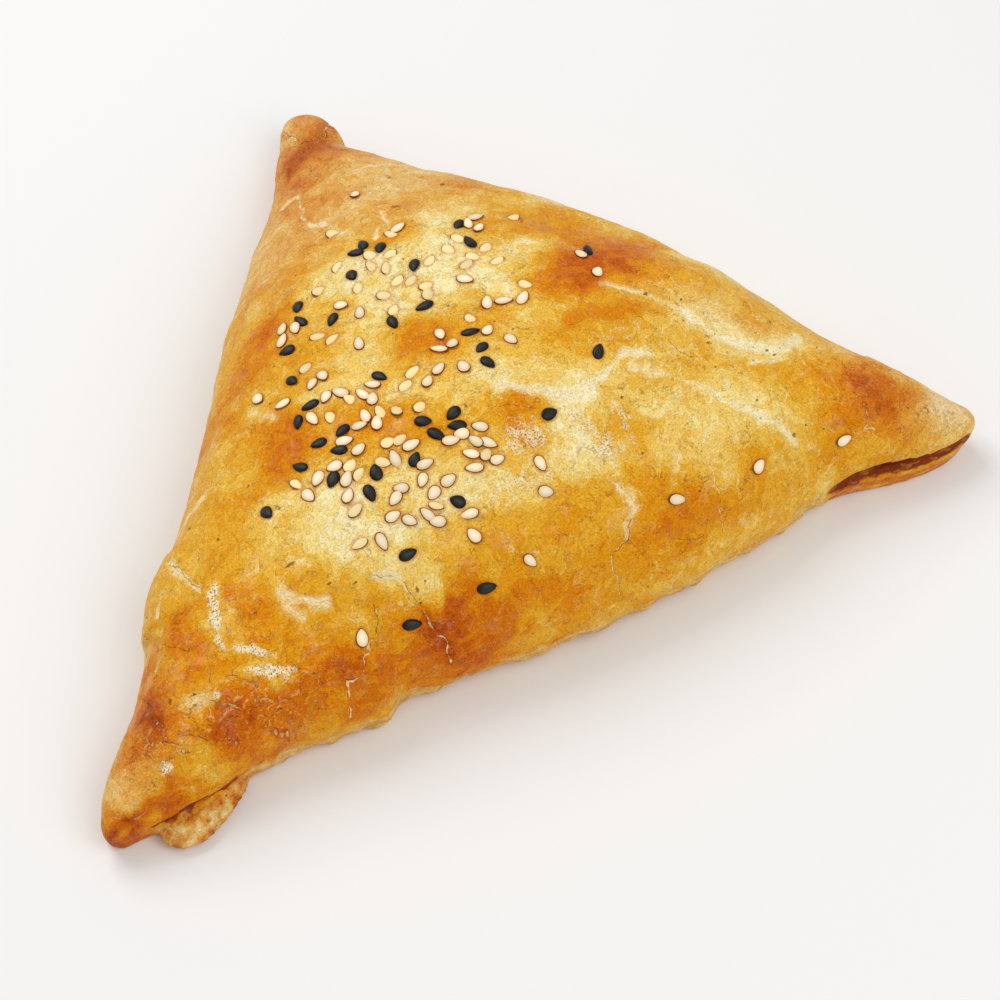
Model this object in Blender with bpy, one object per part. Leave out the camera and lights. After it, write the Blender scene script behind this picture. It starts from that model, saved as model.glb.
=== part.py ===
"""Baked triangular pastry parcel, about 158 mm along its front edge.

A sheet of dough folded over its filling from three sides, lying on its folds. The parcel is one
solid piece: a pillow with three corners, a tuck along its lower edge, a rounded knob of gathered
dough at the far corner, and a tongue of the under fold that sticks out beside the left corner.

Units are metres and +Z is up. The long front edge runs along +X and the knobbed corner points
to +Y. The origin is the middle of the footprint, on the surface that the parcel rests on.
"""

import math
from typing import NamedTuple

import bmesh
import bpy
from mathutils import Matrix, Vector


class Corner(NamedTuple):
    """One corner of the straight-sided triangle that the parcel is folded to."""

    x: float
    y: float
    blunting: float  # share of the full dome that is missing where the rim turns this corner


class Pinch(NamedTuple):
    """A dip in one edge, where fingers pressed the fold together, or a swell if its depth is below 0."""

    corner: int  # the corner that the dip lies nearest to
    distance: float
    depth: float
    width: float


class Edge(NamedTuple):
    """One edge of the triangle, between two corners, and the corner across from it."""

    start: int
    end: int
    across: int
    bulge: float  # how far the middle of the edge swells past the straight line
    pinches: tuple[Pinch, ...]


class Slit(NamedTuple):
    """A gap between two layers of dough, open along the rim."""

    start: tuple[float, float]
    end: tuple[float, float]
    height: float  # of the middle of the gap above the resting surface
    gape: float
    depth: float


LEFT, RIGHT, FAR = 0, 1, 2

# Plan of the folded triangle, measured from its left corner.
CORNERS = (
    Corner(x=0.0, y=0.0, blunting=0.006),
    Corner(x=0.174, y=0.0, blunting=0.044),
    Corner(x=0.088, y=0.120, blunting=0.006),
)
FRONT_PINCHES = (
    Pinch(LEFT, distance=0.032, depth=0.0026, width=0.014),
    Pinch(LEFT, distance=0.060, depth=0.0025, width=0.014),
    Pinch(RIGHT, distance=0.0345, depth=0.0044, width=0.016),
)
BACK_PINCHES = (
    Pinch(RIGHT, distance=0.034, depth=0.0031, width=0.018),
    Pinch(FAR, distance=0.033, depth=0.0010, width=0.013),
)
SIDE_PINCHES = (
    Pinch(FAR, distance=0.017, depth=0.0024, width=0.013),
    Pinch(LEFT, distance=0.043, depth=-0.0010, width=0.018),
)
EDGES = (
    Edge(LEFT, RIGHT, FAR, bulge=0.0, pinches=FRONT_PINCHES),
    Edge(RIGHT, FAR, LEFT, bulge=0.0024, pinches=BACK_PINCHES),
    Edge(FAR, LEFT, RIGHT, bulge=-0.0019, pinches=SIDE_PINCHES),
)

# Height of the pillow and the tuck beneath its rim.
RIM_AT_CORNERS = 0.0058
RIM_AT_FLANKS = 0.0069
DOME_RISE = 0.0258
DOME_POWER = 0.52
TUCK_AT_CORNERS = 0.0028
TUCK_AT_FLANKS = 0.0060

# Slow waves of the top crust, each with its wavelength, direction in degrees and height.
CRUST_WAVES = ((0.058, 20.0, 0.0006), (0.041, 105.0, 0.0005), (0.030, 65.0, 0.0003))

# Knob of gathered dough at the far corner.
KNOB_CENTRE = (0.0914, 0.1100, 0.0060)
KNOB_RADII = (0.0058, 0.0100, 0.0050)
KNOB_TURN = math.radians(-7.0)

# Tongue of the under fold beside the left corner.
TONGUE_START = (0.0160, 0.0010)
TONGUE_END = (0.0245, 0.0048)
TONGUE_RADIUS = 0.0044
TONGUE_THICKNESS = 0.0034
TONGUE_LIFT = 0.0003

# Gaps between the layers beside the left and right corners.
LEFT_SLIT = Slit(start=(0.0108, 0.0000), end=(0.0245, 0.0026), height=0.0046, gape=0.0012, depth=0.0060)
RIGHT_SLIT = Slit(start=(0.1340, 0.0072), end=(0.1605, 0.0040), height=0.0050, gape=0.0015, depth=0.0060)

# Edges of the under folds, seen from below: one across the base, and one that meets it.
CROSS_SEAM = ((0.137, 0.016), (0.080, 0.036), (0.084, 0.096))
SIDE_SEAM = ((0.022, 0.012), (0.052, 0.022), (0.0845, 0.044))
SEAM_HALF_WIDTH = 0.0009
SEAM_DEPTH = 0.0011
SEAM_SECTIONS = 14

# Fineness of the faceting.
RINGS = 24
SIDE_RINGS = 5
RING_SPACING_POWER = 1.8
CORNER_CROWDING = 0.5
OUTLINE_STEPS = 30
KNOB_SEGMENTS = 22
KNOB_RINGS = 12
SLIT_SEGMENTS = 24
SLIT_RINGS = 8
TONGUE_END_STEPS = 8
TONGUE_BEVEL_SHARE = 0.4
TONGUE_BEVEL_SEGMENTS = 3

# Constants of the outline's formula.
FULL_IN_THE_MIDDLE = 27.0  # the three distances are each a third of their height there
BLUNTING_POWER = 3
CORNER_POWER = 4
MIDDLE_SHARPNESS = 0.125  # two corners share an edge's middle, and each adds a sixteenth
INNERMOST_RIM, OUTERMOST_RIM = 0.2, 1.4  # limits of the rim along a ray to the straight edge
TINY = 1e-6

CRUST_COLOUR = (0.66, 0.34, 0.09, 1.0)
CRUST_ROUGHNESS = 0.45


def middle_of_corners():
    """Return the point that the rim's rays spread from."""
    return Vector((sum(c.x for c in CORNERS) / 3, sum(c.y for c in CORNERS) / 3))


def edge_length(edge):
    """Return the straight length of an edge."""
    start, end = CORNERS[edge.start], CORNERS[edge.end]
    return math.hypot(end.x - start.x, end.y - start.y)


def triangle_area():
    """Return the area of the straight-sided triangle."""
    left, right, far = CORNERS
    return 0.5 * ((right.x - left.x) * (far.y - left.y) - (far.x - left.x) * (right.y - left.y))


def corner_shares(point):
    """Return how much each corner weighs at a point: 1 at that corner, 0 along the edge across."""
    shares = [0.0, 0.0, 0.0]
    for edge in EDGES:
        start, end = CORNERS[edge.start], CORNERS[edge.end]
        cross = (end.x - start.x) * (point[1] - start.y) - (end.y - start.y) * (point[0] - start.x)
        shares[edge.across] = cross / (2.0 * triangle_area())
    return shares


def edge_swell(edge, shares):
    """Return how far the rim lies outside one straight edge, beside a point."""
    start, end = max(shares[edge.start], TINY), max(shares[edge.end], TINY)
    along = end / (start + end)
    length = edge_length(edge)
    swell = edge.bulge * 4.0 * along * (1.0 - along)
    for pinch in edge.pinches:
        centre = pinch.distance / length
        if pinch.corner == edge.end:
            centre = 1.0 - centre
        swell -= pinch.depth * math.exp(-(((along - centre) * length / pinch.width) ** 2))
    return swell


def fullness(point):
    """Return how far the parcel is filled at a point: 1 in the middle, 0 on the rim, -1 outside."""
    shares = corner_shares(point)
    product = FULL_IN_THE_MIDDLE
    for edge in EDGES:
        height = 2.0 * triangle_area() / edge_length(edge)
        reach = shares[edge.across] + edge_swell(edge, shares) / height
        if reach <= 0.0:
            return -1.0
        product *= reach
    weights = [max(share, 0.0) ** BLUNTING_POWER for share in shares]
    blunting = sum(w * c.blunting for w, c in zip(weights, CORNERS)) / (sum(weights) + TINY)
    return (product - blunting) / (1.0 - blunting)


def flank_share(point):
    """Return 1 along the flanks and in the middle, falling to 0 at the corners."""
    sharpness = sum(max(share, 0.0) ** CORNER_POWER for share in corner_shares(point))
    return min(max((1.0 - sharpness) / (1.0 - MIDDLE_SHARPNESS), 0.0), 1.0)


def rim_height(point):
    """Return the height of the rim beside a point."""
    return RIM_AT_CORNERS + (RIM_AT_FLANKS - RIM_AT_CORNERS) * flank_share(point)


def tuck_width(point):
    """Return how far the base lies inside the rim beside a point."""
    return TUCK_AT_CORNERS + (TUCK_AT_FLANKS - TUCK_AT_CORNERS) * flank_share(point)


def top_height(point):
    """Return the height of the top crust over a point."""
    rise = DOME_RISE
    for wavelength, degrees, height in CRUST_WAVES:
        angle = math.radians(degrees)
        distance = point[0] * math.cos(angle) + point[1] * math.sin(angle)
        rise += height * math.sin(2.0 * math.pi * distance / wavelength)
    return rim_height(point) + rise * max(fullness(point), 0.0) ** DOME_POWER


def rim_point(target):
    """Return where the ray from the middle through a target crosses the rim."""
    middle = middle_of_corners()
    inside, outside = INNERMOST_RIM, OUTERMOST_RIM
    for _ in range(OUTLINE_STEPS):
        trial = (inside + outside) / 2.0
        if fullness(middle.lerp(target, trial)) > 0.0:
            inside = trial
        else:
            outside = trial
    return middle.lerp(target, inside)


def rim_outline():
    """Return the rim's points in order, crowded together towards the corners."""
    points = []
    steps = 2 * RINGS
    for edge in EDGES:
        start = Vector(CORNERS[edge.start][:2])
        end = Vector(CORNERS[edge.end][:2])
        for step in range(steps):
            turn = step / steps
            along = turn - CORNER_CROWDING * math.sin(2.0 * math.pi * turn) / (2.0 * math.pi)
            points.append(rim_point(start.lerp(end, along)))
    return points


def point_on_loop(points, position):
    """Return the point at a fractional position along a closed loop of points."""
    index = math.floor(position)
    return points[index % len(points)].lerp(points[(index + 1) % len(points)], position - index)


def add_dome(mesh, rim):
    """Add the top crust as rings of 6, 12, 18 ... points, and return its outermost ring."""
    middle = middle_of_corners()
    rings = [[mesh.verts.new((middle.x, middle.y, top_height(middle)))]]
    for ring in range(1, RINGS + 1):
        spread = 1.0 - (1.0 - ring / RINGS) ** RING_SPACING_POWER
        verts = []
        for step in range(6 * ring):
            edge_point = point_on_loop(rim, step * RINGS / ring)
            plan = middle.lerp(edge_point, spread)
            height = top_height(plan) if ring < RINGS else rim_height(plan)
            verts.append(mesh.verts.new((plan.x, plan.y, height)))
        rings.append(verts)
    for ring in range(1, RINGS + 1):
        outer, inner = rings[ring], rings[ring - 1]
        for sector in range(6):
            for step in range(ring):
                first = outer[sector * ring + step]
                second = outer[(sector * ring + step + 1) % len(outer)]
                near = inner[(sector * (ring - 1) + step) % len(inner)]
                mesh.faces.new((first, second, near))
                if step < ring - 1:
                    following = inner[(sector * (ring - 1) + step + 1) % len(inner)]
                    mesh.faces.new((near, second, following))
    return rings[RINGS]


def add_tuck(mesh, rim, ring):
    """Carry the rim down and inwards to the flat base, and close the base."""
    middle = middle_of_corners()
    for side_ring in range(1, SIDE_RINGS + 1):
        turn = side_ring / SIDE_RINGS * math.pi / 2.0
        below = []
        for point in rim:
            inward = (middle - point).normalized()
            plan = point + inward * tuck_width(point) * (1.0 - math.cos(turn))
            height = rim_height(point) * (1.0 - math.sin(turn))
            below.append(mesh.verts.new((plan.x, plan.y, height)))
        for index in range(len(rim)):
            following = (index + 1) % len(rim)
            mesh.faces.new((ring[index], below[index], below[following]))
            mesh.faces.new((ring[index], below[following], ring[following]))
        ring = below
    for vert in ring:
        vert.co.z = 0.0
    mesh.faces.new(list(reversed(ring)))


def add_object(name, mesh, material=None):
    """Link a new object that holds a bmesh."""
    data = bpy.data.meshes.new(name)
    mesh.normal_update()
    mesh.to_mesh(data)
    mesh.free()
    if material:
        data.materials.append(material)
    item = bpy.data.objects.new(name, data)
    bpy.context.collection.objects.link(item)
    return item


def add_helper(name, mesh):
    """Link a shape that only serves a Boolean."""
    item = add_object(name, mesh)
    item.hide_render = True
    item.display_type = "WIRE"
    return item


def make_parcel(material):
    """Build the pillow of the parcel without its knob, tongue and slits."""
    mesh = bmesh.new()
    rim = rim_outline()
    add_tuck(mesh, rim, add_dome(mesh, rim))
    return add_object("pastry", mesh, material)


def make_knob():
    """Build the rounded knob at the far corner."""
    mesh = bmesh.new()
    bmesh.ops.create_uvsphere(mesh, u_segments=KNOB_SEGMENTS, v_segments=KNOB_RINGS, radius=1.0)
    place = Matrix.Translation(KNOB_CENTRE) @ Matrix.Rotation(KNOB_TURN, 4, "Z")
    place = place @ Matrix.Diagonal((*KNOB_RADII, 1.0))
    bmesh.ops.transform(mesh, matrix=place, verts=mesh.verts)
    bmesh.ops.triangulate(mesh, faces=mesh.faces)
    return add_helper("knob", mesh)


def make_tongue():
    """Build the tongue as a slab with half-round ends and softened edges."""
    start, end = Vector(TONGUE_START), Vector(TONGUE_END)
    heading = math.atan2(end.y - start.y, end.x - start.x)
    mesh = bmesh.new()
    outline = []
    for centre, first_turn in ((end, heading - math.pi / 2.0), (start, heading + math.pi / 2.0)):
        for step in range(TONGUE_END_STEPS + 1):
            turn = first_turn + math.pi * step / TONGUE_END_STEPS
            x = centre.x + TONGUE_RADIUS * math.cos(turn)
            y = centre.y + TONGUE_RADIUS * math.sin(turn)
            outline.append(mesh.verts.new((x, y, TONGUE_LIFT)))
    base = mesh.faces.new(list(reversed(outline)))
    swept = bmesh.ops.extrude_face_region(mesh, geom=[base], use_keep_orig=True)
    raised = [item for item in swept["geom"] if isinstance(item, bmesh.types.BMVert)]
    bmesh.ops.translate(mesh, vec=(0.0, 0.0, TONGUE_THICKNESS), verts=raised)
    bmesh.ops.recalc_face_normals(mesh, faces=mesh.faces)
    borders = [edge for edge in mesh.edges if edge.calc_face_angle(0.0) > math.radians(60.0)]
    softening = TONGUE_THICKNESS * TONGUE_BEVEL_SHARE
    bmesh.ops.bevel(mesh, geom=borders, offset=softening, segments=TONGUE_BEVEL_SEGMENTS, affect="EDGES")
    bmesh.ops.triangulate(mesh, faces=mesh.faces)
    return add_helper("tongue", mesh)


def make_slit_cutter(name, slit):
    """Build a flat lens that opens one slit, pointed at its ends and rounded inside."""
    start, end = Vector(slit.start), Vector(slit.end)
    centre = (start + end) / 2.0
    heading = math.atan2(end.y - start.y, end.x - start.x)
    mesh = bmesh.new()
    bmesh.ops.create_uvsphere(mesh, u_segments=SLIT_SEGMENTS, v_segments=SLIT_RINGS, radius=1.0)
    place = Matrix.Translation((centre.x, centre.y, slit.height)) @ Matrix.Rotation(heading, 4, "Z")
    place = place @ Matrix.Diagonal(((end - start).length / 2.0, slit.depth, slit.gape / 2.0, 1.0))
    bmesh.ops.transform(mesh, matrix=place, verts=mesh.verts)
    bmesh.ops.triangulate(mesh, faces=mesh.faces)
    return add_helper(name, mesh)


def seam_section(controls, along):
    """Return the place and sideways direction of a seam, a curve through two ends and a pull."""
    start, pull, end = (Vector(point) for point in controls)
    place = start * (1.0 - along) ** 2 + pull * 2.0 * along * (1.0 - along) + end * along ** 2
    heading = (pull - start) * (1.0 - along) + (end - pull) * along
    return place, Vector((-heading.y, heading.x)).normalized()


def make_seam_cutter(name, controls):
    """Build a tapering three-sided bar that cuts the groove along a fold's edge."""
    mesh = bmesh.new()
    first_place, _ = seam_section(controls, 0.0)
    last_place, _ = seam_section(controls, 1.0)
    tips = [mesh.verts.new((place.x, place.y, -SEAM_DEPTH / 2.0)) for place in (first_place, last_place)]
    sections = []
    for step in range(1, SEAM_SECTIONS):
        along = step / SEAM_SECTIONS
        place, sideways = seam_section(controls, along)
        taper = math.sin(math.pi * along) ** 0.5
        reach = sideways * SEAM_HALF_WIDTH * 2.0 * taper
        left, right = place + reach, place - reach
        sections.append([
            mesh.verts.new((left.x, left.y, -SEAM_DEPTH)),
            mesh.verts.new((right.x, right.y, -SEAM_DEPTH)),
            mesh.verts.new((place.x, place.y, SEAM_DEPTH * taper)),
        ])
    for near, far in zip(sections, sections[1:]):
        for side in range(3):
            following = (side + 1) % 3
            mesh.faces.new((near[side], near[following], far[following]))
            mesh.faces.new((near[side], far[following], far[side]))
    for side in range(3):
        following = (side + 1) % 3
        mesh.faces.new((tips[0], sections[0][following], sections[0][side]))
        mesh.faces.new((tips[1], sections[-1][side], sections[-1][following]))
    bmesh.ops.recalc_face_normals(mesh, faces=mesh.faces)
    return add_helper(name, mesh)


def add_boolean(target, tool, operation):
    """Join a helper to the target, or cut it away."""
    modifier = target.modifiers.new(tool.name, "BOOLEAN")
    modifier.operation = operation
    modifier.solver = "EXACT"
    modifier.object = tool


def centre_footprint(solids, helpers):
    """Shift every mesh so that the middle of the solids' footprint lies on the origin."""
    points = [vert.co for item in solids for vert in item.data.vertices]
    middle_x = (min(p.x for p in points) + max(p.x for p in points)) / 2.0
    middle_y = (min(p.y for p in points) + max(p.y for p in points)) / 2.0
    shift = Matrix.Translation((-middle_x, -middle_y, 0.0))
    for item in solids + helpers:
        item.data.transform(shift)


def make_crust_material():
    """Return the plain baked-dough material."""
    material = bpy.data.materials.new("baked_crust")
    material.use_nodes = True
    shader = material.node_tree.nodes["Principled BSDF"]
    shader.inputs["Base Color"].default_value = CRUST_COLOUR
    shader.inputs["Roughness"].default_value = CRUST_ROUGHNESS
    shader.inputs["Metallic"].default_value = 0.0
    return material


def main():
    """Build the parcel."""
    for item in list(bpy.data.objects):
        bpy.data.objects.remove(item, do_unlink=True)
    parcel = make_parcel(make_crust_material())
    knob, tongue = make_knob(), make_tongue()
    cutters = [
        make_slit_cutter("left_slit", LEFT_SLIT),
        make_slit_cutter("right_slit", RIGHT_SLIT),
        make_seam_cutter("cross_seam", CROSS_SEAM),
        make_seam_cutter("side_seam", SIDE_SEAM),
    ]
    for addition in (knob, tongue):
        add_boolean(parcel, addition, "UNION")
    for cutter in cutters:
        add_boolean(parcel, cutter, "DIFFERENCE")
    centre_footprint([parcel, knob, tongue], cutters)


main()
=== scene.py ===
"""Looks of a baked triangular pastry parcel strewn with pale and black sesame seeds.

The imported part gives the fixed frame, in metres, with +Z up and the origin in the middle of the
footprint. Places on the crust are given in millimetres of the plan, seen from above: x along
the long front edge, y towards the knobbed far corner.
"""

from __future__ import annotations

import logging
import math
from dataclasses import dataclass, field, replace
from enum import Enum
from typing import Any

import bmesh
import bpy
import numpy as np
from mathutils import Matrix, Vector, noise
from mathutils.bvhtree import BVHTree

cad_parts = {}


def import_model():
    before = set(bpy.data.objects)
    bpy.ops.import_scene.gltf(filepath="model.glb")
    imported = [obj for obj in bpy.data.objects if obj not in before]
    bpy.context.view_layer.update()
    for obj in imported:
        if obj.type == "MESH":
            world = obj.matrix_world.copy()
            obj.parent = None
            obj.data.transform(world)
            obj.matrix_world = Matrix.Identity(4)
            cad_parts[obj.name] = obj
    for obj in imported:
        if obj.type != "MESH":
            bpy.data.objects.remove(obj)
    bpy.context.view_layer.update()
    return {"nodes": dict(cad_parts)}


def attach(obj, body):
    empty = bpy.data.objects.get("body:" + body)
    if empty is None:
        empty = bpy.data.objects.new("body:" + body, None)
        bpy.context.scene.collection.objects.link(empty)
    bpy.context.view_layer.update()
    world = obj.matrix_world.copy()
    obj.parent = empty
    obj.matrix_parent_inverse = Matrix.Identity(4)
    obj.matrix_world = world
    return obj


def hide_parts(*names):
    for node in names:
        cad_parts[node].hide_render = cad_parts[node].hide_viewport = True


LOG = logging.getLogger("pastry")
MM = 0.001
BODY = "root"
NODE = "pastry"


class Layer(Enum):
    """Names of the values that the crust stores at each of its points."""

    BAKE = "bake"
    CRACK = "crack_distance"
    CRACK_SIDE = "crack_side"
    CRACK_PALE = "crack_pale"
    CREASE = "crease"
    CREASE_SIDE = "crease_side"
    CREASE_ALONG = "crease_along"
    WRINKLE = "wrinkle"
    SPECKLE = "speckle"
    RAW = "raw"
    FOLD_SHADE_AND_SCORCH = "scorch"
    MARK = "mark"
    BUBBLE = "bubble_distance"
    GLOSS = "gloss"
    BARE_AND_SHEEN = "bare"
    BLISTER = "blister"
    DRIFT = "drift"
    SEED = "seed_distance"


# ---------------------------------------------------------------- small helpers


def smoothstep(low: float, high: float, values: np.ndarray) -> np.ndarray:
    """Return 0 below low and 1 above high, with a smooth rise between them.

    Args:
        low: Value at which the rise starts.
        high: Value at which the rise ends.
        values: Numbers to map.

    Returns:
        The mapped numbers, from 0 to 1.
    """
    share = np.clip((values - low) / (high - low), 0.0, 1.0)
    return share * share * (3.0 - 2.0 * share)


def fractal(points: np.ndarray, size: float, octaves: int, seed: float) -> np.ndarray:
    """Return fractal noise at points.

    Args:
        points: Places in millimetres, one row each.
        size: Size of the largest lumps, in millimetres.
        octaves: Number of layers of ever finer noise.
        seed: Shift that gives another pattern of the same kind.

    Returns:
        One value for each point, mostly between -1 and 1.
    """
    shifted = points / size + seed
    return np.array([noise.fractal(row, 1.0, 2.0, octaves) for row in shifted.tolist()])


@dataclass(frozen=True)
class Patch:
    """A soft oval area of the crust, in millimetres of the plan, turned in degrees."""

    x: float
    y: float
    length: float
    width: float
    turn: float = 0.0
    amount: float = 1.0

    def share(self, plan: np.ndarray) -> np.ndarray:
        """Return how much each point belongs to the patch: its amount in the middle, 0 outside."""
        angle = math.radians(self.turn)
        across = plan - np.array((self.x, self.y))
        u = (across[:, 0] * math.cos(angle) + across[:, 1] * math.sin(angle)) / (self.length / 2.0)
        v = (across[:, 1] * math.cos(angle) - across[:, 0] * math.sin(angle)) / (self.width / 2.0)
        return self.amount * np.exp(-0.7 * (u * u + v * v) ** 1.5)

    def cone(self, plan: np.ndarray) -> np.ndarray:
        """Return a cone over the patch: its amount in the middle, 0 at its edge, down to -1 outside."""
        angle = math.radians(self.turn)
        across = plan - np.array((self.x, self.y))
        u = (across[:, 0] * math.cos(angle) + across[:, 1] * math.sin(angle)) / (self.length / 2.0)
        v = (across[:, 1] * math.cos(angle) - across[:, 0] * math.sin(angle)) / (self.width / 2.0)
        return np.maximum(self.amount * (1.0 - np.hypot(u, v)), -1.0)


@dataclass(frozen=True)
class Route:
    """A line over the crust, such as a crack or a crease, in millimetres of the plan."""

    points: tuple[tuple[float, float], ...]
    width: float
    amount: float = 1.0
    lift: float = 0.0
    pale: float = 1.0

    def measure(self, plan: np.ndarray) -> tuple[np.ndarray, np.ndarray, np.ndarray]:
        """Measure where points lie beside the line.

        Args:
            plan: Places in millimetres of the plan.

        Returns:
            The distance to the line, 1 for points on its left or -1 on its right, and how far
            along the line the nearest place is.
        """
        nearest = np.full(len(plan), 1e9)
        side = np.ones(len(plan))
        along = np.zeros(len(plan))
        walked = 0.0
        for start, end in zip(self.points, self.points[1:]):
            origin = np.array(start)
            leg = np.array(end) - origin
            offset = plan - origin
            share = np.clip(offset @ leg / (leg @ leg), 0.0, 1.0)
            distance = np.linalg.norm(offset - share[:, None] * leg, axis=1)
            closer = distance < nearest
            nearest[closer] = distance[closer]
            turned = leg[0] * offset[:, 1] - leg[1] * offset[:, 0]
            side[closer] = np.sign(turned[closer])
            length = float(np.linalg.norm(leg))
            along[closer] = walked + share[closer] * length
            walked += length
        return nearest, side, along


class Graph:
    """A node tree, with short calls that add nodes and link them."""

    def __init__(self, tree: bpy.types.NodeTree) -> None:
        """Keep the tree that nodes are added to, and the noises in it, which are shared."""
        self.tree = tree
        self.noises: dict[tuple[str, str, float, float, float], bpy.types.NodeSocket] = {}

    def add(self, kind: str, values: dict[Any, Any] | None = None, **settings: Any) -> bpy.types.Node:
        """Add a node, set its properties, and set or link its inputs.

        Args:
            kind: Blender's name for the type of node.
            values: Input name or number, to the value or the output socket that feeds it.
            **settings: Properties of the node.

        Returns:
            The new node.
        """
        node = self.tree.nodes.new(kind)
        for name, value in settings.items():
            setattr(node, name, value)
        for key, value in (values or {}).items():
            if isinstance(value, bpy.types.NodeSocket):
                self.tree.links.new(value, node.inputs[key])
            else:
                node.inputs[key].default_value = value
        return node

    def calc(self, operation: str, *values: Any, clamp: bool = False) -> bpy.types.NodeSocket:
        """Add a Math node and return its output."""
        node = self.add("ShaderNodeMath", dict(enumerate(values)), operation=operation, use_clamp=clamp)
        return node.outputs[0]

    def ramp(self, value: Any, low: float, high: float) -> bpy.types.NodeSocket:
        """Add a smooth rise from 0 at low to 1 at high, and return its output."""
        rise = {"Value": value, "From Min": low, "From Max": high}
        return self.add("ShaderNodeMapRange", rise, interpolation_type="SMOOTHSTEP").outputs["Result"]

    def blend(self, share: Any, first: Any, second: Any, mode: str = "MIX") -> bpy.types.NodeSocket:
        """Add a colour mix and return its output."""
        values = {"Factor": share, "A": first, "B": second}
        node = self.tree.nodes.new("ShaderNodeMix")
        node.data_type = "RGBA"
        node.blend_type = mode
        sockets = {"Factor": node.inputs[0], "A": node.inputs[6], "B": node.inputs[7]}
        for key, value in values.items():
            if isinstance(value, bpy.types.NodeSocket):
                self.tree.links.new(value, sockets[key])
            else:
                sockets[key].default_value = value
        return node.outputs[2]

    def band(self, value: Any, low: float, middle: float, high: float) -> bpy.types.NodeSocket:
        """Add a bump that is 1 at middle and 0 outside low and high, and return its output."""
        return self.calc("MULTIPLY", self.ramp(value, low, middle), self.ramp(value, high, middle))

    def spread(self, value: Any, low: float, high: float) -> bpy.types.NodeSocket:
        """Add a map of the middle range of a noise to low and high, and return its output."""
        inputs = {"Value": value, "From Min": 0.3, "From Max": 0.7, "To Min": low, "To Max": high}
        return self.add("ShaderNodeMapRange", inputs).outputs["Result"]

    def shaken(self, value: Any, place: Any, scale: float, amount: float) -> bpy.types.NodeSocket:
        """Add noise of zero mean to a value and return the sum."""
        swing = self.calc("SUBTRACT", self.noise(place, scale, 3.0), 0.5)
        return self.calc("MULTIPLY_ADD", swing, amount * 2.0, value)

    def attribute(self, name: str) -> bpy.types.NodeSocket:
        """Add a reader of one stored value and return its output."""
        return self.add("ShaderNodeAttribute", attribute_name=name).outputs["Fac"]

    def noise(self, place: Any, scale: float, detail: float, roughness: float = 0.5) -> bpy.types.NodeSocket:
        """Return the value of a noise texture, which is added once for each set of settings."""
        key = (place.node.name, place.name, scale, detail, roughness)
        if key not in self.noises:
            values = {"Vector": place, "Scale": scale, "Detail": detail, "Roughness": roughness}
            self.noises[key] = self.add("ShaderNodeTexNoise", values).outputs[0]
        return self.noises[key]


def srgb(red: int, green: int, blue: int) -> tuple[float, float, float, float]:
    """Return a linear colour from screen values of 0 to 255."""
    linear = []
    for value in (red, green, blue):
        share = value / 255.0
        linear.append(share / 12.92 if share <= 0.04045 else ((share + 0.055) / 1.055) ** 2.4)
    return (linear[0], linear[1], linear[2], 1.0)


# ---------------------------------------------------------------- finishes


def make_grain_group() -> bpy.types.NodeTree:
    """Make the fine grain that crust and seeds share.

    Returns:
        A shader group that takes a Scale per millimetre and puts out a Grain height from 0 to 1
        and a Mottle value from 0 to 1.
    """
    group = bpy.data.node_groups.new("fine_grain", "ShaderNodeTree")
    group.interface.new_socket("Scale", in_out="INPUT", socket_type="NodeSocketFloat").default_value = 1.0
    group.interface.new_socket("Grain", in_out="OUTPUT", socket_type="NodeSocketFloat")
    group.interface.new_socket("Mottle", in_out="OUTPUT", socket_type="NodeSocketFloat")
    graph = Graph(group)
    entry = graph.add("NodeGroupInput")
    place = graph.add("ShaderNodeTexCoord").outputs["Object"]
    per_mm = graph.calc("MULTIPLY", entry.outputs["Scale"], 1000.0)
    scaled = graph.add("ShaderNodeVectorMath", {0: place, "Scale": per_mm}, operation="SCALE").outputs[0]
    grain = graph.noise(scaled, 1.0, 5.0, 0.62)
    mottle = graph.noise(scaled, 0.33, 3.0, 0.55)
    graph.add("NodeGroupOutput", {"Grain": grain, "Mottle": mottle})
    return group


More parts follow.
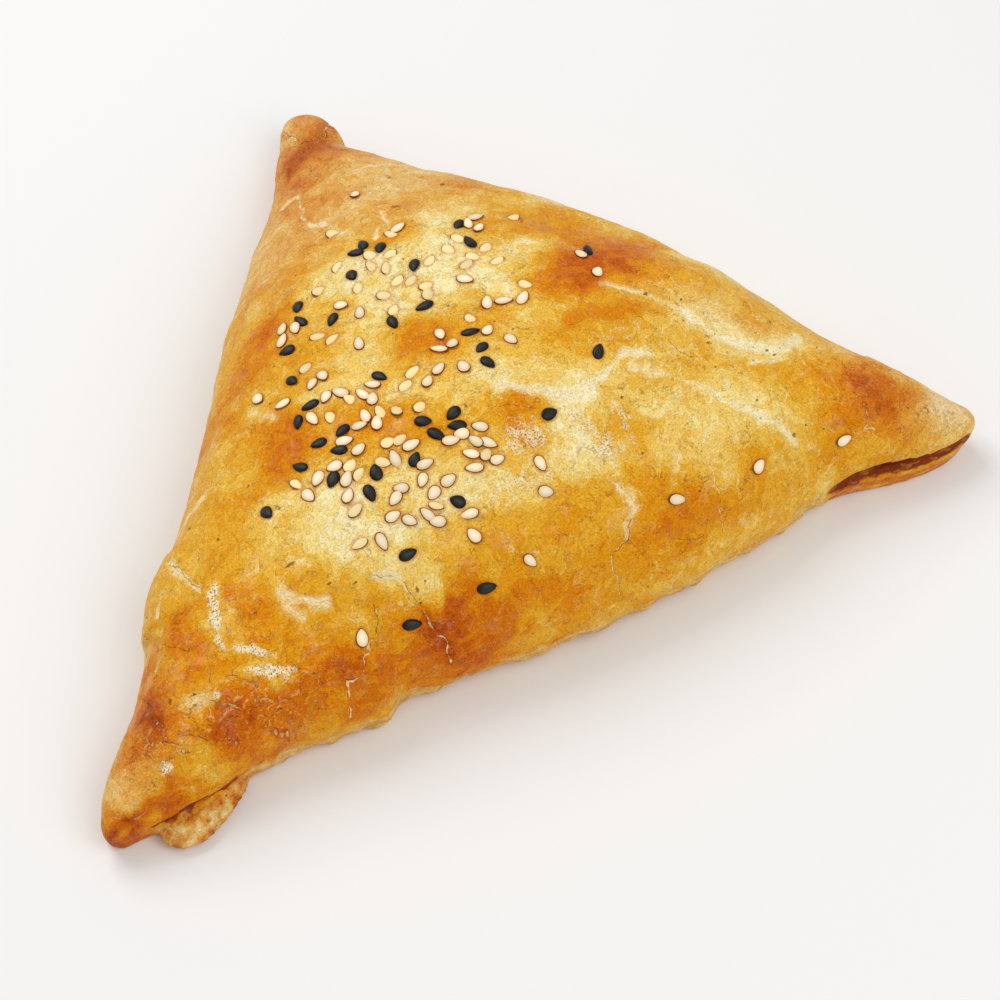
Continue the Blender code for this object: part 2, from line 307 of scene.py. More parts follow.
@dataclass(frozen=True)
class CrustFinish:
    """Egg-washed dough, from cream through gold and orange to brown, with flaky lines and raw walls."""

    bakes: tuple[tuple[float, tuple[float, float, float, float]], ...] = (
        (0.00, srgb(255, 239, 180)),
        (0.14, srgb(249, 217, 126)),
        (0.28, srgb(242, 195, 82)),
        (0.42, srgb(235, 173, 42)),
        (0.55, srgb(230, 154, 16)),
        (0.67, srgb(224, 134, 4)),
        (0.79, srgb(213, 112, 2)),
        (0.90, srgb(199, 92, 2)),
        (1.00, srgb(178, 72, 4)),
    )
    # Duller dough with less egg wash; also painted sheen, a paler and greyer haze, on the far slope and steep flanks.
    bare_and_sheen_bakes: tuple[tuple[float, tuple[float, float, float, float]], ...] = (
        (0.00, srgb(252, 236, 204)),
        (0.30, srgb(238, 197, 130)),
        (0.50, srgb(227, 163, 86)),
        (0.75, srgb(205, 120, 44)),
        (1.00, srgb(158, 71, 20)),
    )
    # Pale inner dough in the creases; also the colour of the painted glints in the speckled areas.
    flake: tuple[float, float, float, float] = srgb(255, 241, 204)
    vein: tuple[float, float, float, float] = srgb(253, 230, 170)
    raw: tuple[float, float, float, float] = srgb(244, 212, 138)
    raw_shade: tuple[float, float, float, float] = srgb(218, 164, 82)
    # Scorched lip layers, and painted shade inside the open folds; the darker colour below is painted shade deep inside
    # them.
    scorched_and_shaded: tuple[float, float, float, float] = srgb(142, 58, 16)
    deep_fold_shade: tuple[float, float, float, float] = srgb(70, 24, 8)
    leaf: tuple[float, float, float, float] = srgb(206, 128, 52)
    # Dark lines, marks and specks, and the painted shadow beside cracks and flake edges.
    dark_line_and_shadow: tuple[float, float, float, float] = (0.28, 0.17, 0.08, 1.0)
    seed_contact_shade: tuple[float, float, float, float] = srgb(196, 96, 22)
    # Painted contact shade round each seed.
    burnt: tuple[float, float, float, float] = srgb(138, 48, 12)
    # Painted glints on the blistered glaze.
    glint_fleck: tuple[float, float, float, float] = srgb(250, 205, 140)
    speck: tuple[float, float, float, float] = srgb(96, 78, 34)
    roughness: float = 0.48
    coat_roughness: float = 0.22
    specular: float = 0.05
    haze: float = 0.04
    haze_roughness: float = 0.5
    layering: tuple[float, float, float] = (1.0, 1.0, 4.5)
    wrinkle_turn: float = -0.49
    terraces: float = 9.0
    terrace_share: float = 0.7

    def make(self, grain: bpy.types.NodeTree) -> bpy.types.Material:
        """Build the material.

        Args:
            grain: The shared group of fine grain.

        Returns:
            The crust's material.
        """
        material = bpy.data.materials.new("baked_crust")
        material.use_nodes = True
        graph = Graph(material.node_tree)
        shader = material.node_tree.nodes["Principled BSDF"]
        place = graph.add("ShaderNodeTexCoord").outputs["Object"]
        drift = graph.add("ShaderNodeAttribute", attribute_name=Layer.DRIFT.value).outputs["Vector"]
        drifted = graph.add("ShaderNodeVectorMath", {0: place, 1: drift}, operation="ADD").outputs[0]
        shaky = self._warped(graph, drifted, 1300.0, 0.0008)
        hair = graph.add("ShaderNodeTexVoronoi", {"Vector": shaky, "Scale": 300.0}, feature="DISTANCE_TO_EDGE")
        hairline = hair.outputs["Distance"]
        fine = graph.add("ShaderNodeGroup", node_tree=grain)
        fine.inputs["Scale"].default_value = 3.2
        bake, steps, brink = self._bake(graph, place, drifted)
        # The duller ramp: less egg-washed dough, and painted sheen on the far slope, the steep flanks and the knob.
        colour = graph.blend(graph.attribute(Layer.BARE_AND_SHEEN.value), self._ramp(graph, bake, self.bakes),
                             self._ramp(graph, bake, self.bare_and_sheen_bakes))
        colour = self._veins(graph, place, shaky, colour, bake)
        colour = graph.blend(graph.calc("MULTIPLY", graph.calc(
            "MULTIPLY", graph.ramp(hairline, 0.034, 0.014), graph.ramp(graph.noise(place, 350.0, 3.0), 0.58, 0.63)),
            0.48), colour, self.dark_line_and_shadow, "MULTIPLY")
        colour = self._flake_edges(graph, place, drifted, colour, brink)
        colour = self._crackle(graph, place, shaky, hairline, colour)
        colour = self._creases(graph, place, colour)
        colour = self._raw_walls(graph, place, colour)
        colour = self._specks(graph, place, colour)
        colour = self._cracks(graph, place, colour)
        colour = self._shaded_folds(graph, place, colour)
        # Painted contact shade: the crust darkens within about 0.6 mm of a seed.
        seed_contact_shade = graph.shaken(graph.attribute(Layer.SEED.value), place, 800.0, 0.3)
        seed_contact_shade = graph.calc("MULTIPLY", graph.ramp(seed_contact_shade, 0.6, 0.0), 0.5)
        colour = graph.blend(seed_contact_shade, colour, self.seed_contact_shade)
        shade = graph.calc("MULTIPLY", graph.spread(fine.outputs["Mottle"], 0.94, 1.05),
                           graph.spread(fine.outputs["Grain"], 0.72, 1.23))
        colour = graph.add("ShaderNodeVectorMath", {0: colour, "Scale": shade}, operation="SCALE").outputs[0]
        shader.inputs["Roughness"].default_value = self.roughness
        shader.inputs["Coat Roughness"].default_value = self.coat_roughness
        shader.inputs["Specular IOR Level"].default_value = self.specular
        shader.inputs["Sheen Weight"].default_value = self.haze
        shader.inputs["Sheen Roughness"].default_value = self.haze_roughness
        height = graph.calc("MULTIPLY_ADD", graph.noise(place, 800.0, 3.0), 1.4, fine.outputs["Grain"])
        height = graph.calc("MULTIPLY_ADD", steps, 5.0, height)
        bump = graph.add("ShaderNodeBump", {"Strength": 1.0, "Distance": 0.00013, "Height": height}).outputs["Normal"]
        glaze = graph.ramp(graph.noise(place, 260.0, 4.0), 0.5, 0.68)
        coat = graph.calc("MULTIPLY", graph.calc("MULTIPLY", graph.attribute(Layer.GLOSS.value), glaze), 0.35)
        links = material.node_tree.links
        links.new(colour, shader.inputs["Base Color"])
        links.new(bump, shader.inputs["Normal"])
        links.new(coat, shader.inputs["Coat Weight"])
        return material

    def _warped(self, graph: Graph, place: Any, scale: float, reach: float) -> Any:
        """Return a place that noise has shifted by up to about half the reach, in metres."""
        drift = graph.add("ShaderNodeTexNoise", {"Vector": place, "Scale": scale, "Detail": 2.0}).outputs["Color"]
        drift = graph.add("ShaderNodeVectorMath", {0: drift, 1: (0.5, 0.5, 0.5)}, operation="SUBTRACT").outputs[0]
        drift = graph.add("ShaderNodeVectorMath", {0: drift, "Scale": reach}, operation="SCALE").outputs[0]
        return graph.add("ShaderNodeVectorMath", {0: place, 1: drift}, operation="ADD").outputs[0]

    def _bake(self, graph: Graph, place: Any, drifted: Any) -> tuple[Any, Any, Any]:
        """Return how brown the crust is, its flakes as steps of height, and where their edges are.

        Args:
            graph: The material's nodes.
            place: The place on the crust, in metres.
            drifted: The same place, shifted unevenly by a millimetre or so.

        Returns:
            The stored bake with plates, blotches and grit of its own, the steps, and a value
            that is 0.5 on the edge of a flake.
        """
        plates = graph.add("ShaderNodeTexVoronoi", {"Vector": drifted, "Scale": 230.0}).outputs["Color"]
        plates = graph.calc("SUBTRACT", plates, 0.5)
        bake = graph.calc("MULTIPLY_ADD", plates, 0.14, graph.attribute(Layer.BAKE.value))
        for scale, detail, amount in ((140.0, 1.0, 0.34), (420.0, 2.0, 0.42)):
            blotch = graph.calc("SUBTRACT", graph.noise(drifted, scale, detail), 0.5)
            bake = graph.calc("MULTIPLY_ADD", blotch, amount, bake)
        scaled = graph.calc("MULTIPLY", bake, self.terraces)
        brink = graph.calc("FRACT", scaled)
        steps = graph.calc("ADD", graph.calc("FLOOR", scaled), graph.ramp(brink, 0.46, 0.54))
        steps = graph.calc("DIVIDE", steps, self.terraces)
        plain = graph.calc("MULTIPLY", bake, 1.0 - self.terrace_share)
        bake = graph.calc("MULTIPLY_ADD", steps, self.terrace_share, plain)
        for scale, amount in ((1300.0, 0.14), (2900.0, 0.24)):
            grit = graph.calc("SUBTRACT", graph.noise(place, scale, 2.0), 0.5)
            bake = graph.calc("MULTIPLY_ADD", grit, amount, bake)
        return bake, steps, brink

    def _ramp(self, graph: Graph, bake: Any, table: tuple[tuple[float, Any], ...]) -> Any:
        """Return the colour that a table gives to a bake from 0 to 1."""
        node = graph.add("ShaderNodeValToRGB", {"Fac": bake})
        stops = node.color_ramp.elements
        for place, colour in table[1:-1]:
            stops.new(place).color = colour
        stops[0].color = table[0][1]
        stops[len(table) - 1].color = table[-1][1]
        return node.outputs["Color"]

    def _veins(self, graph: Graph, place: Any, shaky: Any, colour: Any, bake: Any) -> Any:
        """Return the colour with fine pale veins where the crust is light."""
        pale_places = graph.calc("MULTIPLY", graph.ramp(graph.noise(place, 170.0, 3.0), 0.46, 0.6),
                                 graph.ramp(bake, 0.7, 0.35))
        edge = graph.add("ShaderNodeTexVoronoi", {"Vector": shaky, "Scale": 150.0}, feature="DISTANCE_TO_EDGE")
        line = graph.calc("MULTIPLY", graph.ramp(edge.outputs["Distance"], 0.026, 0.008), pale_places)
        return graph.blend(graph.calc("MULTIPLY", line, 0.45), colour, self.vein)

    def _flake_edges(self, graph: Graph, place: Any, drifted: Any, colour: Any, brink: Any) -> Any:
        """Return the colour with broken dark and pale lines along flakes, painted shade and light across their steps,
        and wrinkles in the thin skin.
        """
        broken = graph.ramp(graph.noise(place, 520.0, 2.0), 0.5, 0.58)
        # Painted shade just below each flake's step, and painted light just above it.
        dark = graph.calc("MULTIPLY", graph.band(brink, 0.36, 0.44, 0.5), broken)
        colour = graph.blend(graph.calc("MULTIPLY", dark, 0.5), colour, self.dark_line_and_shadow, "MULTIPLY")
        light = graph.calc("MULTIPLY", graph.band(brink, 0.5, 0.58, 0.68), broken)
        colour = graph.blend(graph.calc("MULTIPLY", light, 0.2), colour, self.vein)
        lie = graph.add("ShaderNodeMapping", {"Vector": drifted, "Rotation": (0.0, 0.0, self.wrinkle_turn),
                                              "Scale": (0.0021, 0.0007, 0.0007)}, vector_type="TEXTURE").outputs[0]
        wrinkle = graph.band(graph.noise(lie, 1.0, 3.0), 0.45, 0.49, 0.53)
        wrinkle = graph.calc("MULTIPLY", wrinkle, graph.ramp(graph.noise(place, 260.0, 4.0), 0.46, 0.58))
        wrinkle = graph.calc("MULTIPLY", wrinkle, graph.attribute(Layer.WRINKLE.value))
        return graph.blend(graph.calc("MULTIPLY", wrinkle, 0.6), colour, self.dark_line_and_shadow, "MULTIPLY")

    def _crackle(self, graph: Graph, place: Any, shaky: Any, hairline: Any, colour: Any) -> Any:
        """Return the colour with short burnt strokes and painted glints as pale flecks where the glaze has blistered.
        """
        blister = graph.attribute(Layer.BLISTER.value)
        stroke = graph.calc("MULTIPLY", graph.ramp(hairline, 0.09, 0.03),
                            graph.ramp(graph.noise(place, 520.0, 2.0), 0.53, 0.6))
        glint_fleck = graph.ramp(graph.noise(shaky, 1100.0, 2.0), 0.58, 0.66)
        colour = graph.blend(graph.calc("MULTIPLY", graph.calc("MULTIPLY", glint_fleck, blister), 0.5), colour, self.glint_fleck)
        return graph.blend(graph.calc("MULTIPLY", graph.calc("MULTIPLY", stroke, blister), 0.5), colour, self.burnt)

    def _creases(self, graph: Graph, place: Any, colour: Any) -> Any:
        """Return the colour with strands of pale inner dough along the wide creases, and pores between."""
        mask = graph.attribute(Layer.CREASE.value)
        across = graph.shaken(graph.attribute(Layer.CREASE_SIDE.value), place, 350.0, 0.35)
        lie = graph.add("ShaderNodeCombineXYZ", {"X": graph.calc("MULTIPLY", graph.attribute(Layer.CREASE_ALONG.value), 0.4),
                                                 "Y": graph.calc("MULTIPLY", across, 2.4)}).outputs[0]
        strands = graph.noise(lie, 1.0, 4.0, 0.62)
        strands = graph.calc("MULTIPLY_ADD", mask, 0.42, strands)
        strands = graph.calc("MULTIPLY", graph.ramp(strands, 0.68, 0.86), graph.ramp(mask, 0.1, 0.45))
        colour = graph.blend(graph.calc("MULTIPLY", graph.ramp(mask, 0.08, 0.6), 0.4), colour, self.vein)
        colour = graph.blend(graph.calc("MULTIPLY", strands, 0.62), colour, self.flake)
        cells = graph.add("ShaderNodeTexVoronoi", {"Vector": place, "Scale": 800.0})
        near = graph.ramp(cells.outputs["Distance"], 0.24, 0.12)
        chosen = graph.calc("GREATER_THAN", cells.outputs["Color"], 0.6)
        pores = graph.calc("MULTIPLY", graph.calc("MULTIPLY", near, chosen), graph.ramp(mask, 0.3, 0.7))
        return graph.blend(graph.calc("MULTIPLY", pores, 0.7), colour, self.speck)

    def _cracks(self, graph: Graph, place: Any, colour: Any) -> Any:
        """Return the colour with thin pale cracks, each with a broken dark line of painted shadow along one side."""
        close = graph.ramp(graph.attribute(Layer.CRACK.value), 0.7, 0.4)
        side = graph.shaken(graph.attribute(Layer.CRACK_SIDE.value), place, 800.0, 0.28)
        width = graph.spread(graph.noise(place, 420.0, 3.0), -0.08, 0.2)
        over = graph.calc("SUBTRACT", graph.calc("ABSOLUTE", side), width)
        pale = graph.calc("MULTIPLY", graph.ramp(over, 0.05, -0.03), close)
        pale = graph.calc("MULTIPLY", pale, graph.attribute(Layer.CRACK_PALE.value))
        pale = graph.calc("MULTIPLY", pale, graph.ramp(graph.noise(place, 520.0, 2.0), 0.36, 0.5))
        colour = graph.blend(graph.calc("MULTIPLY", pale, 0.8), colour, self.vein)
        # Painted shadow: a broken dark line along one side of each crack.
        beside = graph.band(graph.calc("SUBTRACT", side, width), -0.02, 0.07, 0.18)
        broken = graph.ramp(graph.noise(place, 350.0, 3.0), 0.44, 0.52)
        dark = graph.calc("MULTIPLY", graph.calc("MULTIPLY", beside, broken), close)
        colour = graph.blend(graph.calc("MULTIPLY", dark, 0.85), colour, self.dark_line_and_shadow, "MULTIPLY")
        mark = graph.ramp(graph.shaken(graph.attribute(Layer.MARK.value), place, 1100.0, 0.25), -0.02, 0.22)
        colour = graph.blend(graph.calc("MULTIPLY", mark, 0.85), colour, self.dark_line_and_shadow, "MULTIPLY")
        ring = graph.shaken(graph.attribute(Layer.BUBBLE.value), place, 1100.0, 0.08)
        colour = graph.blend(graph.calc("MULTIPLY", graph.ramp(ring, 0.36, 0.2), 0.4), colour, self.vein)
        return graph.blend(graph.calc("MULTIPLY", graph.band(ring, 0.28, 0.4, 0.52), 0.5), colour, self.dark_line_and_shadow, "MULTIPLY")

    def _raw_walls(self, graph: Graph, place: Any, colour: Any) -> Any:
        """Return the colour with pale, unglazed dough in thin layers low on the sides."""
        ragged = graph.calc("SUBTRACT", graph.noise(place, 300.0, 5.0, 0.6), 0.5)
        raw = graph.ramp(graph.calc("MULTIPLY_ADD", ragged, 1.8, graph.attribute(Layer.RAW.value)), 0.25, 0.85)
        flat = graph.add("ShaderNodeVectorMath", {0: place, 1: self.layering}, operation="MULTIPLY").outputs[0]
        shade = graph.ramp(graph.noise(flat, 260.0, 5.0, 0.62), 0.66, 0.4)
        dough = graph.blend(shade, self.raw, self.raw_shade)
        return graph.blend(graph.calc("MULTIPLY", raw, 0.85), colour, dough)

    def _shaded_folds(self, graph: Graph, place: Any, colour: Any) -> Any:
        """Return the colour with open folds that darken inwards between thin baked layers, as painted shade, and the
        scorched lines of the lower lip.
        """
        scorch = graph.attribute(Layer.FOLD_SHADE_AND_SCORCH.value)
        rough = graph.shaken(scorch, place, 800.0, 0.25)
        flat = graph.add("ShaderNodeVectorMath", {0: place, 1: self.layering}, operation="MULTIPLY").outputs[0]
        layers = graph.ramp(graph.noise(flat, 420.0, 3.0), 0.52, 0.62)
        edge = graph.blend(graph.calc("MULTIPLY", layers, 0.7), self.scorched_and_shaded, self.leaf)
        colour = graph.blend(graph.ramp(rough, 0.35, 0.75), colour, edge)
        return graph.blend(graph.calc("MULTIPLY", graph.ramp(scorch, 0.78, 0.98), 0.85), colour, self.deep_fold_shade)

    def _specks(self, graph: Graph, place: Any, colour: Any) -> Any:
        """Return the colour with painted glints and dark specks in the speckled areas, and a few specks all over."""
        dust = graph.noise(place, 3600.0, 2.0)
        ragged = graph.calc("SUBTRACT", graph.noise(place, 800.0, 3.0), 0.5)
        strength = graph.attribute(Layer.SPECKLE.value)
        speckle = graph.ramp(graph.calc("MULTIPLY_ADD", ragged, 1.5, strength), 0.3, 0.75)
        speckle = graph.calc("MULTIPLY", speckle, graph.ramp(strength, -0.3, 0.9))
        # Painted glints: pale flecks, with dark specks between them.
        painted_glint = graph.calc("MULTIPLY", graph.ramp(dust, 0.40, 0.48), speckle)
        dark = graph.calc("MULTIPLY", graph.ramp(dust, 0.44, 0.38), speckle)
        colour = graph.blend(graph.calc("MULTIPLY", painted_glint, 0.9), colour, self.flake)
        colour = graph.blend(graph.calc("MULTIPLY", dark, 0.9), colour, self.dark_line_and_shadow, "MULTIPLY")
        cells = graph.add("ShaderNodeTexVoronoi", {"Vector": place, "Scale": 300.0})
        near = graph.ramp(cells.outputs["Distance"], 0.085, 0.05)
        chosen = graph.calc("GREATER_THAN", cells.outputs["Color"], 0.62)
        return graph.blend(graph.calc("MULTIPLY", graph.calc("MULTIPLY", near, chosen), 0.7), colour, self.speck)


@dataclass(frozen=True)
class SeedFinish:
    """A sesame seed: its back, its shoulders and its thin edge darkened as painted shade, with browning at the edge,
    and the back and edge of a glazed one.
    """

    name: str
    back: tuple[float, float, float, float]
    shaded_shoulder: tuple[float, float, float, float]
    edge: tuple[float, float, float, float]
    glazed: tuple[float, float, float, float]
    glazed_edge: tuple[float, float, float, float]
    roughness: float
    specular: float = 0.25

    def make(self, grain: bpy.types.NodeTree) -> bpy.types.Material:
        """Build the material.

        Args:
            grain: The shared group of fine grain.

        Returns:
            The seeds' material.
        """
        material = bpy.data.materials.new(self.name)
        material.use_nodes = True
        graph = Graph(material.node_tree)
        shader = material.node_tree.nodes["Principled BSDF"]
        fine = graph.add("ShaderNodeGroup", node_tree=grain)
        fine.inputs["Scale"].default_value = 4.0
        # Painted shade: the shoulders and the thin edge are darker than the back.
        colour = graph.blend(graph.ramp(graph.attribute("rim"), 0.35, 0.85), self.back, self.shaded_shoulder)
        colour = graph.blend(graph.calc("MULTIPLY", graph.attribute("glaze"), 0.85), colour, self.glazed)
        edge = graph.blend(graph.attribute("glaze"), self.edge, self.glazed_edge)
        colour = graph.blend(graph.ramp(graph.attribute("rim"), 0.85, 0.93), colour, edge)
        tint = graph.add("ShaderNodeMapRange", {"Value": graph.attribute("tint"), "To Min": 0.86,
                                                "To Max": 1.06}).outputs["Result"]
        colour = graph.add("ShaderNodeVectorMath", {0: colour, "Scale": tint}, operation="SCALE").outputs[0]
        bump = graph.add("ShaderNodeBump", {"Strength": 0.5, "Distance": 0.00005,
                                            "Height": fine.outputs["Grain"]}).outputs["Normal"]
        shader.inputs["Roughness"].default_value = self.roughness
        shader.inputs["Specular IOR Level"].default_value = self.specular
        material.node_tree.links.new(colour, shader.inputs["Base Color"])
        material.node_tree.links.new(bump, shader.inputs["Normal"])
        return material


# ---------------------------------------------------------------- crust


BASE_BAKE = 0.38
BAKE_PATCHES = (
    # left corner and its side
    Patch(-60, -45, 34, 16, 30, 0.12),
    Patch(-65, -38, 10, 13, 0, 0.16),
    Patch(-50, -56, 16, 5, 0, 0.06),
    Patch(56, -56, 8, 5, 0, 0.12),
    Patch(65, -57, 10, 4, 0, 0.05),
    Patch(-77, -57.5, 6, 3, 0, 0.25),
    Patch(-57.5, -55.8, 10, 3, 0, 0.16),
    Patch(50, -7, 14, 8, 0, -0.05),
    Patch(56, -16, 8, 6, 0, -0.1),
    Patch(25, -36, 8, 6, 0, -0.05),
    Patch(25, -45, 8, 6, 0, -0.05),
    Patch(5, -56, 9, 4, 0, -0.06),
    Patch(-25, -56, 14, 4, 0, -0.04),
    Patch(76, -46, 7, 6, 0, -0.07),
    Patch(-34, 4, 9, 9, 0, -0.1),
    Patch(25, -14, 9, 7, 0, -0.06),
    Patch(-56, -34, 9, 7, 0, 0.08),
    Patch(-45, -36, 7, 7, 0, -0.05),
    Patch(-36, -37, 9, 7, 0, 0.06),
    Patch(-25, -5, 9, 7, 0, 0.14),
    Patch(25, -36, 12, 9, 0, -0.12),
    Patch(25, -56, 14, 6, 0, -0.1),
    Patch(15, -15, 9, 9, 0, -0.12),
    Patch(36, 14, 9, 8, 0, -0.18),
    Patch(26, 25, 10, 8, 0, -0.14),
    Patch(54, -10, 14, 16, 0, -0.12),
    Patch(75, -49, 11, 11, 0, -0.12),
    Patch(-67, -43.8, 5, 8, 5, 0.42),
    Patch(-71.5, -48.3, 9, 5, -30, 0.22),
    Patch(-65, -49, 8, 7, 0, 0.16),
    Patch(-63.7, -41, 4, 7, 10, 0.14),
    Patch(-73, -53, 8, 4.5, 10, -0.06),
    Patch(-75, -49, 4, 7, -35, -0.12),
    Patch(-72, -56.6, 18, 2.6, 2, 0.36),
    Patch(-79, -54.5, 4, 5, 0, 0.28),
    Patch(-62, -53.6, 5, 3, 0, -0.16),
    Patch(-58.5, -46.8, 5, 3, 0, -0.22),
    Patch(-56.5, -51, 8, 4, 0, 0.16),
    Patch(-57, -37, 4, 12, -15, 0.2),
    Patch(-56, -41, 4, 6, 0, 0.12),
    Patch(-52, -50.5, 8, 3, -20, 0.08),
    Patch(-51, -36, 9, 3, 63, -0.2),
    Patch(-48.8, -44.6, 9, 2.4, -35, -0.2),
    Patch(-47.8, -48.4, 8, 2.4, -23, -0.24),
    Patch(-47, -38, 6, 10, 0, 0.2),
    Patch(-43, -26, 9, 6, 0, 0.14),
    Patch(-50, -23, 8, 10, 0, 0.05),
    # front band
    Patch(-49, -53, 24, 6, -3, 0.3),
    Patch(-41, -46, 22, 10, 5, 0.18),
    Patch(-29, -53, 24, 7, 0, 0.32),
    Patch(-15, -53, 17, 9, -10, 0.32),
    Patch(0, -55, 18, 5, 0, 0.24),
    Patch(20, -54, 22, 7, 5, 0.2),
    Patch(5, -47, 20, 7, 0, 0.16),
    Patch(30, -53, 24, 7, 3, 0.14),
    Patch(-24, -47, 8, 5, 0, 0.08),
    Patch(-22, -46, 8, 5, -30, -0.16),
    # left shoulder
    Patch(-27, 3, 24, 9, 30, 0.24),
    Patch(-20, 8, 9, 4, 0, 0.18),
    Patch(-34, -4, 10, 10, 0, 0.06),
    Patch(-28.5, -15, 9, 14, -20, 0.36),
    Patch(-36, -20, 13, 8, 0, 0.2),
    Patch(-28, -6, 7, 7, 0, -0.26),
    Patch(-12, 18, 20, 8, 0, 0.13),
    Patch(-7, 24, 9, 7, 0, 0.08),
    Patch(-3, 36, 14, 10, 0, 0.08),
    # middle
    Patch(-3, -12, 10, 10, 60, 0.36),
    Patch(-13, -23, 16, 8, 0, 0.16),
    Patch(-20, -20, 12, 8, 0, 0.1),
    Patch(-12, -28, 16, 5, 0, 0.22),
    Patch(4, -31, 9, 7, 0, 0.27),
    Patch(-18, -3, 10, 7, 0, 0.1),
    Patch(9, -6, 4, 8, 0, 0.2),
    Patch(13, -12, 13, 4, 0, 0.18),
    Patch(-5, -5, 6, 6, 0, 0.24),
    Patch(17, 6, 5, 5, 0, 0.16),
    # cream areas, lightened partly as a painted sheen on the top
    Patch(5, 2, 27, 18, 0, -0.31),
    Patch(15, 13, 9, 9, 0, -0.2),
    Patch(14, -6, 9, 9, 0, -0.3),
    Patch(-9, -6, 14, 9, 0, -0.26),
    Patch(-5, 9, 13, 7, 0, -0.28),
    Patch(-20, -34, 26, 14, 10, -0.24),
    Patch(-33, -29, 16, 12, -20, -0.16),
    Patch(-31, -34, 8, 6, 20, -0.12),
    Patch(-37, -38, 5, 9, 60, 0.08),
    Patch(-34, -31, 5, 6, 0, 0.1),
    Patch(-7, -40, 20, 8, 0, -0.2),
    Patch(2, -24, 20, 8, -15, -0.22),
    Patch(-9, -18, 13, 5, 20, -0.26),
    Patch(-19, -12, 14, 5, 0, -0.24),
    Patch(12, -34, 11, 9, 50, -0.24),
    Patch(12, -42, 15, 7, 0, -0.22),
    Patch(20, -30, 26, 5, 15, -0.12),
    Patch(-27, -40, 13, 8, 0, -0.14),
    # right half
    Patch(27, -10, 16, 11, 0, 0.46),
    Patch(31, -2, 16, 10, 0, 0.24),
    Patch(35, -8, 12, 9, 0, 0.1),
    Patch(40, -8, 11, 11, 0, 0.2),
    Patch(27, -20, 17, 5, -5, 0.3),
    Patch(26, 6, 20, 8, 0, 0.15),
    Patch(23, 24, 9, 8, 0, 0.32),
    Patch(23, 0, 9, 4, 0, -0.26),
    Patch(42, -26, 18, 7, -40, -0.22),
    Patch(45, -44, 8, 17, 35, -0.22),
    Patch(34, -41, 16, 12, 0, -0.14),
    Patch(53, -33, 14, 5, -10, -0.22),
    Patch(17, -40, 8, 7, 0, 0.16),
    Patch(26, -46, 12, 8, 0, -0.06),
    # right corner
    Patch(61, -41, 11, 15, 0, 0.13),
    Patch(64.8, -46.8, 12, 10, -35, 0.4),
    Patch(52, -42, 12, 14, 0, 0.1),
    Patch(54, -49, 11, 6, 0, 0.2),
    # far knob and the slope below it
    Patch(4, 50.5, 9, 6, 10, 0.36),
    Patch(1.5, 47, 6, 5, 0, 0.24),
    Patch(8, 56, 12, 12, 10, 0.2),
    Patch(10.5, 53.5, 5, 4, 0, 0.18),
    Patch(4, 43, 16, 9, 0, 0.22),
    Patch(6, 47.5, 12, 7, -28, 0.06),
    Patch(-1, 42, 6, 10, 0, 0.12),
    Patch(5, 57, 2, 6, -20, -0.14),
    Patch(9, 49, 8, 8, 0, 0.1),
    Patch(9, 22, 7, 7, 0, 0.14),
    Patch(5, 13, 9, 4, 0, 0.22),
    Patch(0, 31, 10, 8, 0, 0.08),
    Patch(15, 30, 14, 14, 0, -0.08),
)
